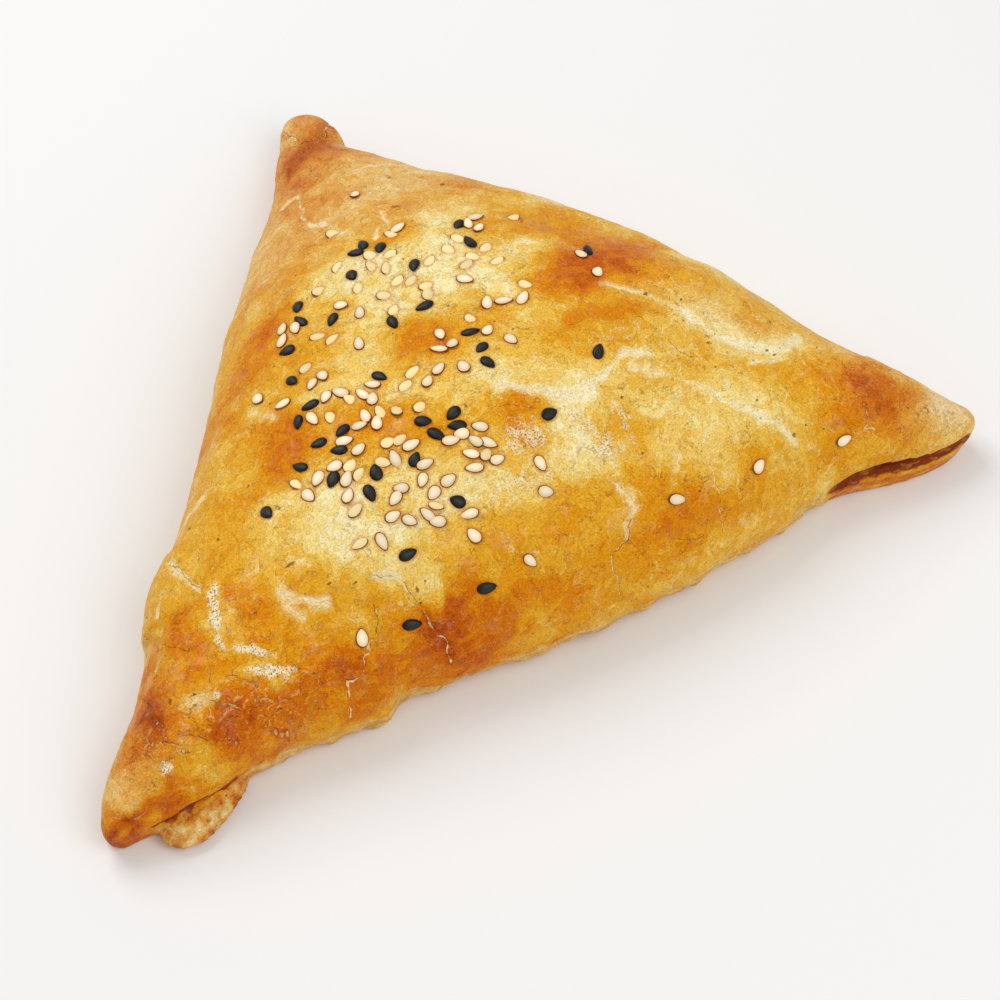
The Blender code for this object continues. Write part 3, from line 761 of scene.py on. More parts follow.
CRACKS = (
    Route(((-38, -56), (-37.5, -53.5), (-35.5, -53.5), (-33, -51.5), (-30.5, -51), (-29, -49.5), (-28.5, -47)),
          0.6, 1.0, 0.4),
    Route(((-27, -43.5), (-24.5, -45), (-22.5, -49), (-22, -51.5), (-20.5, -53.5)), 0.5, 1.0, 0.4),
    Route(((-20.5, -53.5), (-20, -56)), 0.5, 0.9, 0.3),
    Route(((14, -46), (15, -50.5), (12.5, -53), (9, -54), (8.5, -55.5), (9, -57)), 0.5, 0.8, 0.25, 0.7),
    Route(((30, -46.5), (29.5, -48.5), (30, -52), (28.5, -56)), 0.4, 0.7, 0.15, 0.7),
    Route(((-52.5, -22.5), (-52, -28), (-51.5, -31.5)), 0.45, 0.9, 0.15, 0.7),
    Route(((-58, -30.5), (-61.5, -35.5), (-62.5, -39), (-63.5, -40)), 0.45, 0.9, 0.2, 0.6),
    Route(((-56.3, -49.2), (-55.3, -49.6), (-54.3, -50.3)), 0.4, 0.9, 0.1, 0.5),
    Route(((57.5, -49.4), (58.6, -49.9), (59.3, -49.2), (60.3, -50)), 0.5, 1.0, 0.1),
    Route(((59.3, -49.2), (60.2, -47.8), (60.6, -46.6)), 0.4, 0.8, 0.1, 0.7),
    Route(((33, -2), (28, -3.5), (23, -3), (19, -2.5)), 0.3, 0.6, 0.2, 0.6),
    Route(((13, 27), (15, 24), (14, 21)), 0.4, 0.6, 0.0, 0.6),
    Route(((47.5, -26.3), (51, -26), (54, -27.5), (55.5, -29.5)), 0.4, 0.6, 0.0, 0.7),
    Route(((4.5, 57.5), (4.9, 55), (6.2, 53.2)), 0.5, 0.8, 0.2, 0.8),
    Route(((13.2, 56), (11.5, 54), (10, 51.8)), 0.5, 0.8, 0.2, 0.8),
    # brown folds, with no pale dough in them
    Route(((2.3, 53), (5, 52.8), (7.5, 51.6), (10, 52)), 0.4, 0.9, 0.1, 0.0),
    Route(((31.5, -22), (33, -24.5), (34.3, -28), (35, -30), (37.5, -32)), 0.4, 0.7, 0.15, 0.0),
    Route(((-60, -33), (-59.5, -35), (-58.2, -37.5), (-57.2, -39)), 0.4, 0.9, 0.3, 0.0),
    Route(((-56.5, -21), (-59.5, -25), (-61.5, -28.5), (-61.2, -30.5)), 0.4, 0.9, 0.2, 0.2),
    Route(((-66.4, -40), (-66, -42), (-65.4, -44.2)), 0.4, 0.9, 0.3, 0.0),
    Route(((-64.8, -41.6), (-64.2, -42.8), (-63.8, -43.8)), 0.4, 0.9, 0.2, 0.0),
    Route(((-66.8, -46), (-66.2, -46.8), (-66, -47.8)), 0.4, 0.9, 0.2, 0.1),
    Route(((-69.2, -47.8), (-68.6, -48.6), (-68.8, -49.6)), 0.4, 0.9, 0.2, 0.3),
    Route(((-67, -50.4), (-65.6, -50.8), (-65, -51.8), (-63.8, -52.4)), 0.4, 0.9, 0.2, 0.3),
    Route(((-65.8, -52.2), (-64.8, -52.6), (-63.6, -53.2)), 0.4, 0.9, 0.2, 0.1),
    Route(((-60.9, -52.3), (-59.6, -53), (-57.8, -52.9), (-56.6, -51.4)), 0.4, 0.9, 0.2, 0.0),
    Route(((-58, -51.3), (-56.5, -50.7), (-55, -51)), 0.4, 0.9, 0.2, 0.0),
    Route(((-79.4, -55.2), (-77.6, -56), (-75, -56.4), (-72.5, -56.4)), 0.4, 0.9, 0.3, 0.3),
    Route(((-60.7, -47.9), (-59.4, -47.7), (-58.4, -48)), 0.4, 0.8, 0.2, 0.0),
    Route(((-53, -50.6), (-51.6, -51.2), (-50.4, -50.8)), 0.4, 0.9, 0.2, 0.2),
    Route(((-52, -52.4), (-49.6, -52.8), (-48, -52.6)), 0.4, 0.9, 0.2, 0.3),
    Route(((-54.9, -46.6), (-53.8, -46.1), (-53, -46.8)), 0.4, 0.9, 0.2, 0.2),
    Route(((1.5, -30), (4, -30.6), (6, -31.2), (8, -31.8)), 0.4, 0.6, 0.0, 0.1),
    Route(((-63.5, -50.5), (-61.5, -52), (-60, -53)), 0.4, 0.9, 0.1, 0.1),
    Route(((-70, -50.5), (-69, -52), (-67, -52.5)), 0.4, 0.9, 0.2, 0.0),
)
CREASES = (
    Route(((30, -14), (33, -16), (36, -18), (38, -20.5), (40, -23), (41.5, -26), (43.5, -28.7), (46, -31), (50, -33.2),
           (54, -32.7), (58, -31)), 0.9, 0.8),
    Route(((46, -34.5), (49, -35.6), (52, -35)), 0.7, 0.6),
    Route(((36, -37.5), (39, -41), (42.5, -44.5), (46.5, -48)), 0.8, 0.65),
    Route(((19, -31.2), (21.5, -30), (24, -28.6), (27, -28), (29.5, -29)), 1.0, 0.8),
    Route(((4, -26.3), (8, -27.7), (10, -30), (13, -31.3), (17, -32)), 1.2, 0.85),
    Route(((25.5, -30.5), (31.5, -34), (36, -38)), 1.2, 0.55),
    Route(((34, -39), (35.5, -41), (34, -43.5), (30.5, -44.5), (29.5, -46)), 0.8, 0.32),
    Route(((12, -37), (13.5, -40), (16, -43)), 1.2, 0.55),
    Route(((-35, -43.5), (-37.5, -43), (-39.5, -41.5), (-41.5, -39.5)), 1.0, 0.75),
    Route(((-40, -44), (-42, -41.5)), 0.8, 0.6),
    Route(((-35.5, -38), (-38, -36.5)), 0.8, 0.5),
    Route(((-43, -13.5), (-47, -15.5), (-51, -14.5)), 0.8, 0.6),
    Route(((-27, -43.5), (-23.5, -45)), 1.0, 0.7),
    Route(((24, -48), (26, -46)), 1.3, 0.5),
    Route(((-30, -9), (-28, -10.5), (-30.5, -6)), 0.8, 0.5),
    Route(((19, 1), (24, 0.5)), 1.4, 0.5),
    Route(((-1.5, 38), (-4, 31), (-3.5, 27.5), (-2, 24), (-1, 20.5)), 0.55, 0.8),
    Route(((-1.5, 38), (-3.5, 38.5), (-5, 38.5)), 0.5, 0.7),
    Route(((3.5, 18), (2, 15)), 0.5, 0.8),
    Route(((6.5, 20.5), (5, 15.5)), 0.5, 0.8),
    Route(((6, 27.5), (3.5, 25.5)), 0.5, 0.6),
    Route(((9, 37), (14.5, 37), (16.5, 36.5)), 0.5, 0.6),
    Route(((-55.5, -26.5), (-58, -29.5)), 0.5, 0.8),
    Route(((-52, -22), (-52.5, -25), (-51.5, -30.5)), 0.5, 0.7),
    Route(((-59, -32), (-61.5, -35.5), (-62.5, -39)), 0.45, 0.7),
    Route(((14, -46), (15.2, -50), (12.2, -53)), 0.8, 0.6),
)
# Duller dough with less egg wash, and painted sheen on the knob and the flanks.
BARE_AND_SHEEN_PATCHES = (
    Patch(8, 56, 15, 15, 0, 0.9),
    Patch(75, -49.5, 16, 9, 0, 0.85),
    Patch(66, -43, 14, 16, 0, 0.35),
    Patch(-74, -51, 12, 9, 20, 0.6),
    Patch(-68, -44, 16, 12, 40, 0.3),
    Patch(-58.5, -46.8, 5, 3.2, 0, 0.8),
    Patch(44, -24, 26, 8, -35, 0.3),
    Patch(36, 14, 10, 10, 0, 0.5),
    Patch(56, -10, 8, 16, 0, 0.4),
)
WRINKLES = (Patch(5, 1, 34, 22, 0, 1.0), Patch(-8, -19, 14, 6, 20, 0.8), Patch(-15, -3, 12, 8, 0, 0.6))
# Patches where glints are painted as pale flecks with dark specks.
SPECKLES = (
    Patch(-50.8, -35.3, 8.5, 2.6, 63, 0.85),
    Patch(-52.8, -40.5, 6, 1.6, 90, 0.65),
    Patch(-48.8, -44.8, 8, 1.4, -35, 0.85),
    Patch(-47.4, -48.6, 7, 1.7, -23, 0.85),
    Patch(-56.6, -47.8, 2.4, 1.2, -15, 0.7),
    Patch(-68, -52.8, 3, 2, -40, 0.7),
    Patch(0, -41, 14, 6, 0, 0.5),
    Patch(4, -35.5, 10, 6, 0, 0.6),
    Patch(15, -41, 7, 5, 0, 0.6),
    Patch(13, -35, 9, 4, -60, 0.55),
    Patch(20, -38, 3, 12, 0, 0.5),
    Patch(26, -25, 12, 4, 20, 0.4),
    Patch(-22, -32, 24, 10, 10, 0.35),
    Patch(6, -24, 16, 6, 0, 0.4),
    Patch(32, -30, 16, 12, 0, 0.3),
    Patch(43, -43, 5, 10, 30, 0.4),
    Patch(-30, -33, 14, 12, 0, 0.35),
)
MARKS = (
    Patch(50, -32.7, 0.9, 0.7),
    Patch(50.7, -33.9, 0.9, 0.7),
    Patch(40.6, -29.3, 1.1, 0.7, 30),
    Patch(59.4, -33.7, 1.0, 0.6, 30),
    Patch(31.5, -15.6, 1.4, 0.5, -20),
    Patch(35.3, -17.8, 0.8, 1.0),
    Patch(42.9, -41.2, 0.8, 0.7),
    Patch(46.5, -47.5, 0.8, 0.8),
    Patch(42, -42.7, 0.7, 0.7),
    Patch(29.5, -46.3, 1.0, 0.6),
    Patch(21.3, -34.7, 1.0, 0.6, -30),
    Patch(19.3, 24, 1.1, 0.9),
    Patch(9, 14.7, 1.1, 0.6, 60),
    Patch(3.4, 6.5, 0.8, 0.8),
    Patch(8.9, 21, 2.4, 1.2, -30, 0.3),
    Patch(12.9, 31.3, 1.8, 0.9, 50, 0.3),
    Patch(-45.2, -24.6, 1.0, 0.8),
    Patch(-63.5, -39.3, 1.0, 0.8),
    Patch(-38, -36.4, 2.4, 0.8, 0, 0.5),
    Patch(-35.4, -26.4, 2.6, 1.1, -60, 0.25),
    Patch(-2.6, -27, 1.8, 1.0, -50, 0.3),
    Patch(-59.5, -46.3, 1.0, 0.6, -20),
    Patch(-60, -47.8, 1.2, 0.5),
    Patch(-34.2, -41.9, 1.1, 0.6),
    Patch(-30.5, -43.4, 1.1, 0.6),
    Patch(-47.3, -17.9, 0.7, 0.9, 0, 0.6),
    Patch(-37.3, -18.7, 0.9, 0.6, 30, 0.6),
    Patch(-31.6, -24.8, 0.9, 0.9, 0, 0.6),
    Patch(-22, -47.6, 0.7, 0.9),
    Patch(-22.2, -49, 0.6, 1.0),
    Patch(-63, -45.2, 1.2, 0.8, 60, 0.4),
)
BUBBLES = ((6.9, -29.1), (8.2, -30.8), (61.7, -40.6), (38.4, -38.0), (26.8, -35.6), (60.5, -46.7), (64.8, -48.8),
           (-56.5, -54), (-48.5, -55), (-50, -54.5), (-66, -47), (-64.5, -52.5), (-68, -49.5))
FLAKES = (
    Patch(-56, -24, 16, 10, 45, 0.5),
    Patch(-59.5, -33, 12, 4, 100, 0.25),
    Patch(-66, -50, 9, 6, 30, 0.25),
    Patch(-46, -50, 14, 7, -5, 0.25),
    Patch(-34, -50, 8, 9, 0, 0.25),
    Patch(-18, -49, 9, 8, 0, 0.25),
    Patch(40, -15, 20, 9, -35, 0.3),
    Patch(30, -33, 12, 8, -50, 0.2),
    Patch(8, 40, 9, 12, 20, 0.2),
    Patch(66, -42, 12, 10, -30, 0.25),
)
SWELLINGS = (
    Patch(-57, -24, 15, 7, 45, 0.8),
    Patch(-65, -35.5, 18, 7, 50, -0.8),
    Patch(-77, -50.5, 14, 7, 50, 0.8),
    Patch(-69, -60.5, 12, 4, 5, 0.5),
    Patch(-62, -58.5, 10, 4, 30, 0.5),
    Patch(-32.5, -54.5, 5, 4, 0, 0.9),
    Patch(-27.5, -55, 6, 4, 0, -0.9),
    Patch(-50, -56, 14, 4, 0, -0.5),
    Patch(33, -56.5, 12, 4, 0, -0.9),
    Patch(12.5, 56, 6, 9, 0, 0.5),
    Patch(3, 58, 5, 8, 0, -0.5),
    Patch(39, 8, 26, 8, -45, 0.7),
    Patch(56, -15, 12, 8, -55, -0.4),
    Patch(74, -42, 18, 7, -60, -0.6),
    Patch(80, -52, 4, 6, 0, 0.5),
    Patch(-17.5, 27, 14, 6, 60, -0.5),
    Patch(-24, 19, 4, 4, 0, 0.4),
    Patch(-31, 11, 6, 4, 0, 0.4),
    Patch(-43, -8, 18, 6, 50, -0.5),
)
LOWER_SWELLINGS = (Patch(64, -55, 30, 8, -7, 1.0),)
BLISTER_PATCHES = (
    Patch(-57, -49, 14, 7, 0, 1.0),
    Patch(-48, -52, 16, 6, 0, 1.0),
    Patch(-67, -51, 12, 8, 0, 0.6),
    Patch(-51, -40, 8, 16, 20, 0.5),
    Patch(-47, -47, 10, 5, -30, 0.6),
    Patch(14, -38, 14, 9, 0, 0.5),
    Patch(74, -52, 9, 5, 0, 0.6),
    Patch(61, -45, 10, 10, 0, 0.3),
)


@dataclass(frozen=True)
class Slit:
    """An open fold at a corner: where its mouth runs in plan, and its height, gape and dark band.

    The dark band, painted shade with browning, is so wide above and below the mouth; its middle lies lower by the drop.
    The closing says how far the lips come together, and the lift how far both of them rise.
    """

    start: tuple[float, float]
    end: tuple[float, float]
    height: float
    gape: float
    browned_and_shaded: float
    drop: float
    closing: float
    lift: float


SLITS = (
    Slit((-72.5, -58.4), (-58.8, -55.8), 4.6, 1.2, 0.35, 0.0, 0.6, 0.0),
    Slit((50.7, -51.2), (77.2, -54.4), 5.0, 1.5, 0.7, 0.5, 0.1, 1.0),
)


@dataclass
class Crust:
    """The whole outer skin of the parcel, with its relief and the values that colour it."""

    voxel: float = 0.0006
    coarse_voxel: float = 0.0009
    softening_rounds: int = 68
    sharp_turn: float = 0.95
    lumps: tuple[tuple[float, float], ...] = ((17.0, 0.55), (6.0, 0.24), (1.7, 0.07))
    blister_size: float = 1.5
    blister_height: float = 0.32
    layer_pitch: float = 0.85
    layer_depth: float = 0.07
    crumb_height: float = 0.7
    crack_depth: float = 0.30
    crack_width: float = 0.45
    crease_depth: float = 0.30
    reach: float = 3.0
    purse_reach: float = 5.0
    drift_size: float = 3.0
    drift_reach: float = 2.2
    points: np.ndarray = field(default_factory=lambda: np.zeros((0, 3)))
    normals: np.ndarray = field(default_factory=lambda: np.zeros((0, 3)))

    def build(self, node: bpy.types.Object, material: bpy.types.Material) -> bpy.types.Object:
        """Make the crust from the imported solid.

        Args:
            node: The solid that the crust takes the place of.
            material: The crust's material.

        Returns:
            The finished piece.
        """
        mesh = self._even_mesh(node)
        mesh.name = "crust"
        piece = bpy.data.objects.new("crust", mesh)
        bpy.context.scene.collection.objects.link(piece)
        self._soften(mesh)
        self._read(mesh)
        values = self._values()
        # Painted shade in the open folds joins the scorched layers of the lower lip.
        values[Layer.FOLD_SHADE_AND_SCORCH] = np.maximum(values[Layer.FOLD_SHADE_AND_SCORCH], self._fold_shade(mesh))
        self.points += self.normals * self._relief(values)[:, None]
        self._purse()
        self.points[:, 2] = np.maximum(self.points[:, 2], 0.0)
        mesh.vertices.foreach_set("co", (self.points * MM).ravel())
        for layer, numbers in values.items():
            store(mesh, layer.value, numbers)
        drift = [fractal(self.points, self.drift_size, 3, seed) for seed in (101.0, 131.0, 161.0)]
        attribute = mesh.attributes.new(Layer.DRIFT.value, "FLOAT_VECTOR", "POINT")
        attribute.data.foreach_set("vector", (self.drift_reach * MM * np.column_stack(drift)).ravel())
        mesh.materials.clear()
        mesh.materials.append(material)
        mesh.shade_smooth()
        mesh.update()
        return piece

    def _even_mesh(self, node: bpy.types.Object) -> bpy.types.Mesh:
        """Return the solid's surface as small faces of even size."""
        merged = bmesh.new()
        merged.from_mesh(node.data)
        bmesh.ops.remove_doubles(merged, verts=merged.verts, dist=1e-6)
        rough = bpy.data.meshes.new("rough")
        merged.to_mesh(rough)
        merged.free()
        item = bpy.data.objects.new("rough", rough)
        bpy.context.scene.collection.objects.link(item)
        modifier = item.modifiers.new("even", "REMESH")
        modifier.mode = "VOXEL"
        modifier.voxel_size = self.voxel
        even = bpy.data.meshes.new_from_object(item.evaluated_get(bpy.context.evaluated_depsgraph_get()))
        bpy.data.objects.remove(item)
        bpy.data.meshes.remove(rough)
        return even

    def _soften(self, mesh: bpy.types.Mesh) -> None:
        """Round off the solid's facets, and leave its slits and folds almost as they are."""
        self._read(mesh)
        edges = np.empty(len(mesh.edges) * 2, np.int32)
        mesh.edges.foreach_get("vertices", edges)
        edges = edges.reshape(-1, 2)
        first, second = edges[:, 0], edges[:, 1]
        count = len(self.points)
        turns = np.einsum("ij,ij->i", self.normals[first], self.normals[second])
        sharp = np.zeros(count)
        np.maximum.at(sharp, first[turns < self.sharp_turn], 1.0)
        np.maximum.at(sharp, second[turns < self.sharp_turn], 1.0)
        degree = np.bincount(edges.ravel(), minlength=count)
        for _ in range(5):
            spread = np.bincount(first, sharp[second], count) + np.bincount(second, sharp[first], count)
            sharp = np.maximum(sharp, smoothstep(0.0, 0.5, spread / degree) * 0.999)
        fineness = self.voxel / self.voxel
        weight = 1.0 - 0.9 * sharp
        for _ in range(int(self.softening_rounds * fineness * fineness)):
            for step in (0.60, -0.61):
                total = np.empty_like(self.points)
                for axis in range(3):
                    column = self.points[:, axis]
                    total[:, axis] = np.bincount(first, column[second], count)
                    total[:, axis] += np.bincount(second, column[first], count)
                self.points += step * weight[:, None] * (total / degree[:, None] - self.points)
        mesh.vertices.foreach_set("co", (self.points * MM).ravel())
        mesh.update()

    def _read(self, mesh: bpy.types.Mesh) -> None:
        """Take the mesh's points, in millimetres, and their normals."""
        flat = np.empty(len(mesh.vertices) * 3)
        mesh.vertices.foreach_get("co", flat)
        self.points = flat.reshape(-1, 3) / MM
        mesh.vertex_normals.foreach_get("vector", flat)
        self.normals = flat.reshape(-1, 3).copy()

    def _values(self) -> dict[Layer, np.ndarray]:
        """Return the stored values of every point."""
        points, normals = self.points, self.normals
        count = len(points)
        height = points[:, 2]
        upper = smoothstep(-0.05, 0.35, normals[:, 2])
        base = smoothstep(0.5, 0.9, -normals[:, 2]) * (height < 1.5)
        plan = points[:, :2].copy()
        for size, reach, seed in ((9.0, 2.2, 3.7), (3.0, 1.0, 19.1)):
            plan += reach * np.column_stack([fractal(points, size, 2, seed), fractal(points, size, 2, seed + 37.6)])
        bake = np.full(count, BASE_BAKE)
        for patch in BAKE_PATCHES:
            bake += patch.share(plan)
        bake = bake * (1.0 - base) + base * (0.62 + 0.35 * fractal(points, 14.0, 3, 61.0))
        right = smoothstep(48.0, 54.0, points[:, 0]) * smoothstep(-43.0, -49.0, points[:, 1])
        left = smoothstep(-56.0, -62.0, points[:, 0]) * (points[:, 1] < -40)
        far = smoothstep(40.0, 50.0, points[:, 1])
        lip = right * (1.0 - smoothstep(4.4, 5.2, height)) * (1.0 - base)
        layered = fractal(points * np.array([0.35, 0.35, 2.2]), 1.6, 3, 41.0)
        bake += (np.clip(0.66 + 0.45 * layered, 0.38, 0.9) - bake) * lip
        tongue = (points[:, 1] < -55.0) * (points[:, 0] < -54.0) * (1.0 - smoothstep(3.4, 4.2, height))
        tongue = tongue * smoothstep(-73.5, -71.5, points[:, 0])
        crumbly = 0.5 + 0.6 * fractal(points, 1.3, 3, 33.0) + 0.3 * (1.0 - smoothstep(0.6, 2.4, height))
        bake += (np.clip(crumbly, 0.28, 0.95) - bake) * tongue
        straight = self._straight()
        values = self._lines(straight)
        bake -= 0.14 * smoothstep(0.0, 0.8, values[Layer.CREASE])
        for layer in (Layer.CREASE,):
            values[layer] *= upper
        values[Layer.CRACK] = np.where(upper > 0.3, values[Layer.CRACK], self.reach)
        values[Layer.BAKE] = np.clip(bake, 0.0, 1.0)
        for layer, patches in ((Layer.WRINKLE, WRINKLES), (Layer.SPECKLE, SPECKLES)):
            amount = np.zeros(count)
            for patch in patches:
                amount = np.maximum(amount, patch.share(straight))
            values[layer] = amount * upper
        rim = 1.0 - smoothstep(0.8, 2.2, height + 1.4 * fractal(points, 2.0, 2, 91.0))
        values[Layer.SPECKLE] = np.maximum(values[Layer.SPECKLE], 0.3 * tongue * rim)
        mark = np.full(count, -1.0)
        for patch in MARKS:
            mark = np.maximum(mark, patch.cone(points[:, :2]))
        values[Layer.MARK] = np.where(upper > 0.3, mark, -1.0)
        bubble = np.full(count, self.reach)
        for centre in BUBBLES:
            bubble = np.minimum(bubble, np.linalg.norm(points[:, :2] - np.array(centre), axis=1))
        values[Layer.BUBBLE] = np.where(upper > 0.3, bubble, self.reach)
        wall_line = 5.6 + 2.2 * fractal(points, 12.0, 2, 9.1) + 1.2 * fractal(points, 3.0, 2, 12.1)
        behind = smoothstep(-52.0, -44.0, points[:, 1])
        wall_line = wall_line * (1.0 - 0.9 * right) * (1.0 - 0.9 * far) * (1.0 - 0.35 * behind) - 4.0 * left
        wall_line += 0.7 * smoothstep(-20.0, 0.0, points[:, 0]) * (1.0 - right) * (1.0 - behind)
        wall = 1.0 - smoothstep(-2.2 - behind, 1.9 + behind, height - wall_line)
        values[Layer.RAW] = wall * (1.0 - base) * (1.0 - tongue) + (0.36 - 0.3 * rim) * tongue
        values[Layer.GLOSS] = (0.35 + 0.65 * upper) * (1.0 - values[Layer.RAW]) * (1.0 - base)
        values[Layer.SEED] = np.full(count, self.reach)
        values[Layer.FOLD_SHADE_AND_SCORCH] = 0.4 * smoothstep(0.15, 0.45, layered) * lip
        # Painted sheen: the far slope and the steep flanks turn paler and duller, as grazing reflection does.
        bare = 0.6 * smoothstep(8.0, 30.0, points[:, 1])
        steep = 1.0 - smoothstep(0.1, 0.6, normals[:, 2])
        bare = np.maximum(bare, 0.5 * steep * smoothstep(-52.0, -46.0, points[:, 1]))
        for patch in BARE_AND_SHEEN_PATCHES:
            bare = np.maximum(bare, patch.share(plan))
        blister = np.zeros(count)
        for patch in BLISTER_PATCHES:
            blister = np.maximum(blister, patch.share(plan))
        values[Layer.BLISTER] = blister * upper
        values[Layer.BARE_AND_SHEEN] = np.clip(np.maximum(bare, 0.7 * tongue), 0.0, 1.0)
        return values

    def _lines(self, plan: np.ndarray) -> dict[Layer, np.ndarray]:
        """Return the values that draw cracks and creases, from places in the plan."""
        points = self.points
        values = {layer: np.full(len(points), self.reach) for layer in (Layer.CRACK, Layer.CRACK_SIDE)}
        values[Layer.CRACK_PALE] = np.zeros(len(points))
        for route in CRACKS:
            distance, side, _ = route.measure(plan)
            closer = distance < values[Layer.CRACK]
            values[Layer.CRACK][closer] = distance[closer]
            values[Layer.CRACK_SIDE][closer] = (side * distance)[closer] * self.crack_width / route.width
            values[Layer.CRACK_PALE][closer] = route.pale
        for layer in (Layer.CREASE, Layer.CREASE_SIDE, Layer.CREASE_ALONG):
            values[layer] = np.zeros(len(points))
        swelling = np.clip(0.9 + 1.1 * fractal(points, 5.0, 2, 47.0), 0.3, 1.2)
        for route in CREASES:
            distance, side, along = route.measure(plan)
            share = route.amount * np.exp(-((distance / (route.width * swelling)) ** 2))
            stronger = share > values[Layer.CREASE]
            values[Layer.CREASE][stronger] = share[stronger]
            values[Layer.CREASE_SIDE][stronger] = (side * distance)[stronger]
            values[Layer.CREASE_ALONG][stronger] = along[stronger]
        return values

    def _straight(self) -> np.ndarray:
        """Return the plan with a fine shake, which makes routes run unevenly."""
        points = self.points
        shake = np.column_stack([fractal(points, 1.6, 2, 7.7), fractal(points, 1.6, 2, 17.3)])
        sway = np.column_stack([fractal(points, 5.0, 2, 71.0), fractal(points, 5.0, 2, 83.0)])
        return points[:, :2] + 0.4 * shake + 1.0 * sway

    def _fold_shade(self, mesh: bpy.types.Mesh) -> np.ndarray:
        """Return how deep each point lies in an open fold, as painted shade: 1 where the crust hides it all round; a
        band along each mouth adds painted shade and browning.
        """
        scorch = np.zeros(len(self.points))
        near = np.zeros(len(self.points), bool)
        for slit in SLITS:
            distance = Route((slit.start, slit.end), slit.gape).measure(self.points[:, :2])[0]
            near |= (distance < 8.0) & (self.points[:, 2] < 9.0) & (self.points[:, 2] > 0.3)
        tree = BVHTree.FromPolygons(self.points.tolist(), [face.vertices[:] for face in mesh.polygons])
        rays = [Vector(ray) for ray in fan_of_rays(20)]
        for index in np.flatnonzero(near):
            start = Vector(self.points[index])
            normal = Vector(self.normals[index])
            turn = Vector((0.0, 0.0, 1.0)).rotation_difference(normal)
            start += normal * 0.15
            hits = sum(tree.ray_cast(start, turn @ ray, 6.0)[0] is not None for ray in rays)
            scorch[index] = hits / len(rays)
        # The share of blocked rays becomes painted shade.
        scorch = smoothstep(0.5, 0.95, scorch)
        # A dark band along each mouth: painted shade in the gap, with browning.
        for slit in SLITS:
            distance = Route((slit.start, slit.end), slit.gape).measure(self.points[:, :2])[0]
            level = np.abs(self.points[:, 2] - slit.height + slit.drop) + 0.5 * fractal(self.points, 2.4, 2, 67.0)
            mouth = (1.0 - smoothstep(slit.browned_and_shaded, slit.browned_and_shaded + 0.4, level)) * (1.0 - smoothstep(0.8, 1.6, distance))
            scorch = np.maximum(scorch, 0.85 * mouth)
        return scorch

    def _purse(self) -> None:
        """Bring the lips of each open fold closer, unevenly, and let its mouth wander up and down."""
        along = self.points * np.array([1.0, 1.0, 0.0])
        squeeze = np.clip(0.2 + 0.35 * fractal(along, 5.0, 3, 57.0), 0.0, 0.45)
        wander = 0.7 * fractal(along, 9.0, 2, 87.0)
        for slit in SLITS:
            distance = Route((slit.start, slit.end), slit.gape).measure(self.points[:, :2])[0]
            level = self.points[:, 2] - slit.height
            near = np.exp(-((distance / self.purse_reach) ** 2) - (level / self.purse_reach) ** 2)
            near *= smoothstep(0.4, 2.4, self.points[:, 2])
            lips = np.clip(2.0 * level / slit.gape, -1.0, 1.0)
            self.points[:, 2] += near * (wander + slit.lift - slit.gape * squeeze * lips * slit.closing)

    def _relief(self, values: dict[Layer, np.ndarray]) -> np.ndarray:
        """Return how far each point moves out along its normal, in millimetres."""
        points, normals = self.points, self.normals
        upper = smoothstep(-0.2, 0.4, normals[:, 2])
        relief = np.zeros(len(points))
        for number, (size, height) in enumerate(self.lumps):
            relief += height * fractal(points, size, 2, 5.1 + 13.7 * number) * (0.25 + 0.75 * upper)
        blistered = np.zeros(len(points))
        for patch in BLISTER_PATCHES:
            blistered = np.maximum(blistered, patch.share(points[:, :2]))
        bumps = smoothstep(0.05, 0.55, fractal(points, self.blister_size, 2, 23.9))
        relief += self.blister_height * blistered * bumps * upper
        straight = self._straight()
        for route in CRACKS:
            distance, side, _ = route.measure(straight)
            edge = np.exp(-distance / 2.5) * smoothstep(-0.15, 0.15, side * distance)
            groove = self.crack_depth * route.amount * np.exp(-((distance / 0.45) ** 2))
            relief += (route.lift * edge - groove) * upper
        for flake in FLAKES:
            relief += flake.amount * smoothstep(-0.04, 0.06, replace(flake, amount=1.0).cone(straight)) * upper
        for patch in SWELLINGS:
            relief += patch.share(points[:, :2])
        for patch in LOWER_SWELLINGS:
            relief += patch.share(points[:, :2]) * (1.0 - smoothstep(3.2, 4.6, points[:, 2]))
        relief -= self.crease_depth * values[Layer.CREASE]
        layers = np.sin(2.0 * math.pi * points[:, 2] / self.layer_pitch + 2.5 * fractal(points, 8.0, 2, 31.7))
        relief += self.layer_depth * layers * values[Layer.RAW]
        crumbs = smoothstep(-0.3, 0.7, fractal(points, 3.4, 4, 53.0))
        relief += self.crumb_height * crumbs * values[Layer.RAW] * smoothstep(0.2, 1.2, points[:, 2])
        return relief


def fan_of_rays(count: int) -> list[tuple[float, float, float]]:
    """Return directions spread evenly over the upper half of a sphere, more of them near the top."""
    golden_turn = math.pi * (3.0 - math.sqrt(5.0))
    rays = []
    for number in range(count):
        rise = math.sqrt((number + 0.5) / count)
        reach = math.sqrt(1.0 - rise * rise)
        rays.append((reach * math.cos(number * golden_turn), reach * math.sin(number * golden_turn), rise))
    return rays


def store(mesh: bpy.types.Mesh, name: str, numbers: np.ndarray) -> None:
    """Store one number at each point of a mesh."""
    attribute = mesh.attributes.get(name) or mesh.attributes.new(name, "FLOAT", "POINT")
    attribute.data.foreach_set("value", numbers.astype(np.float32))


# ---------------------------------------------------------------- seeds


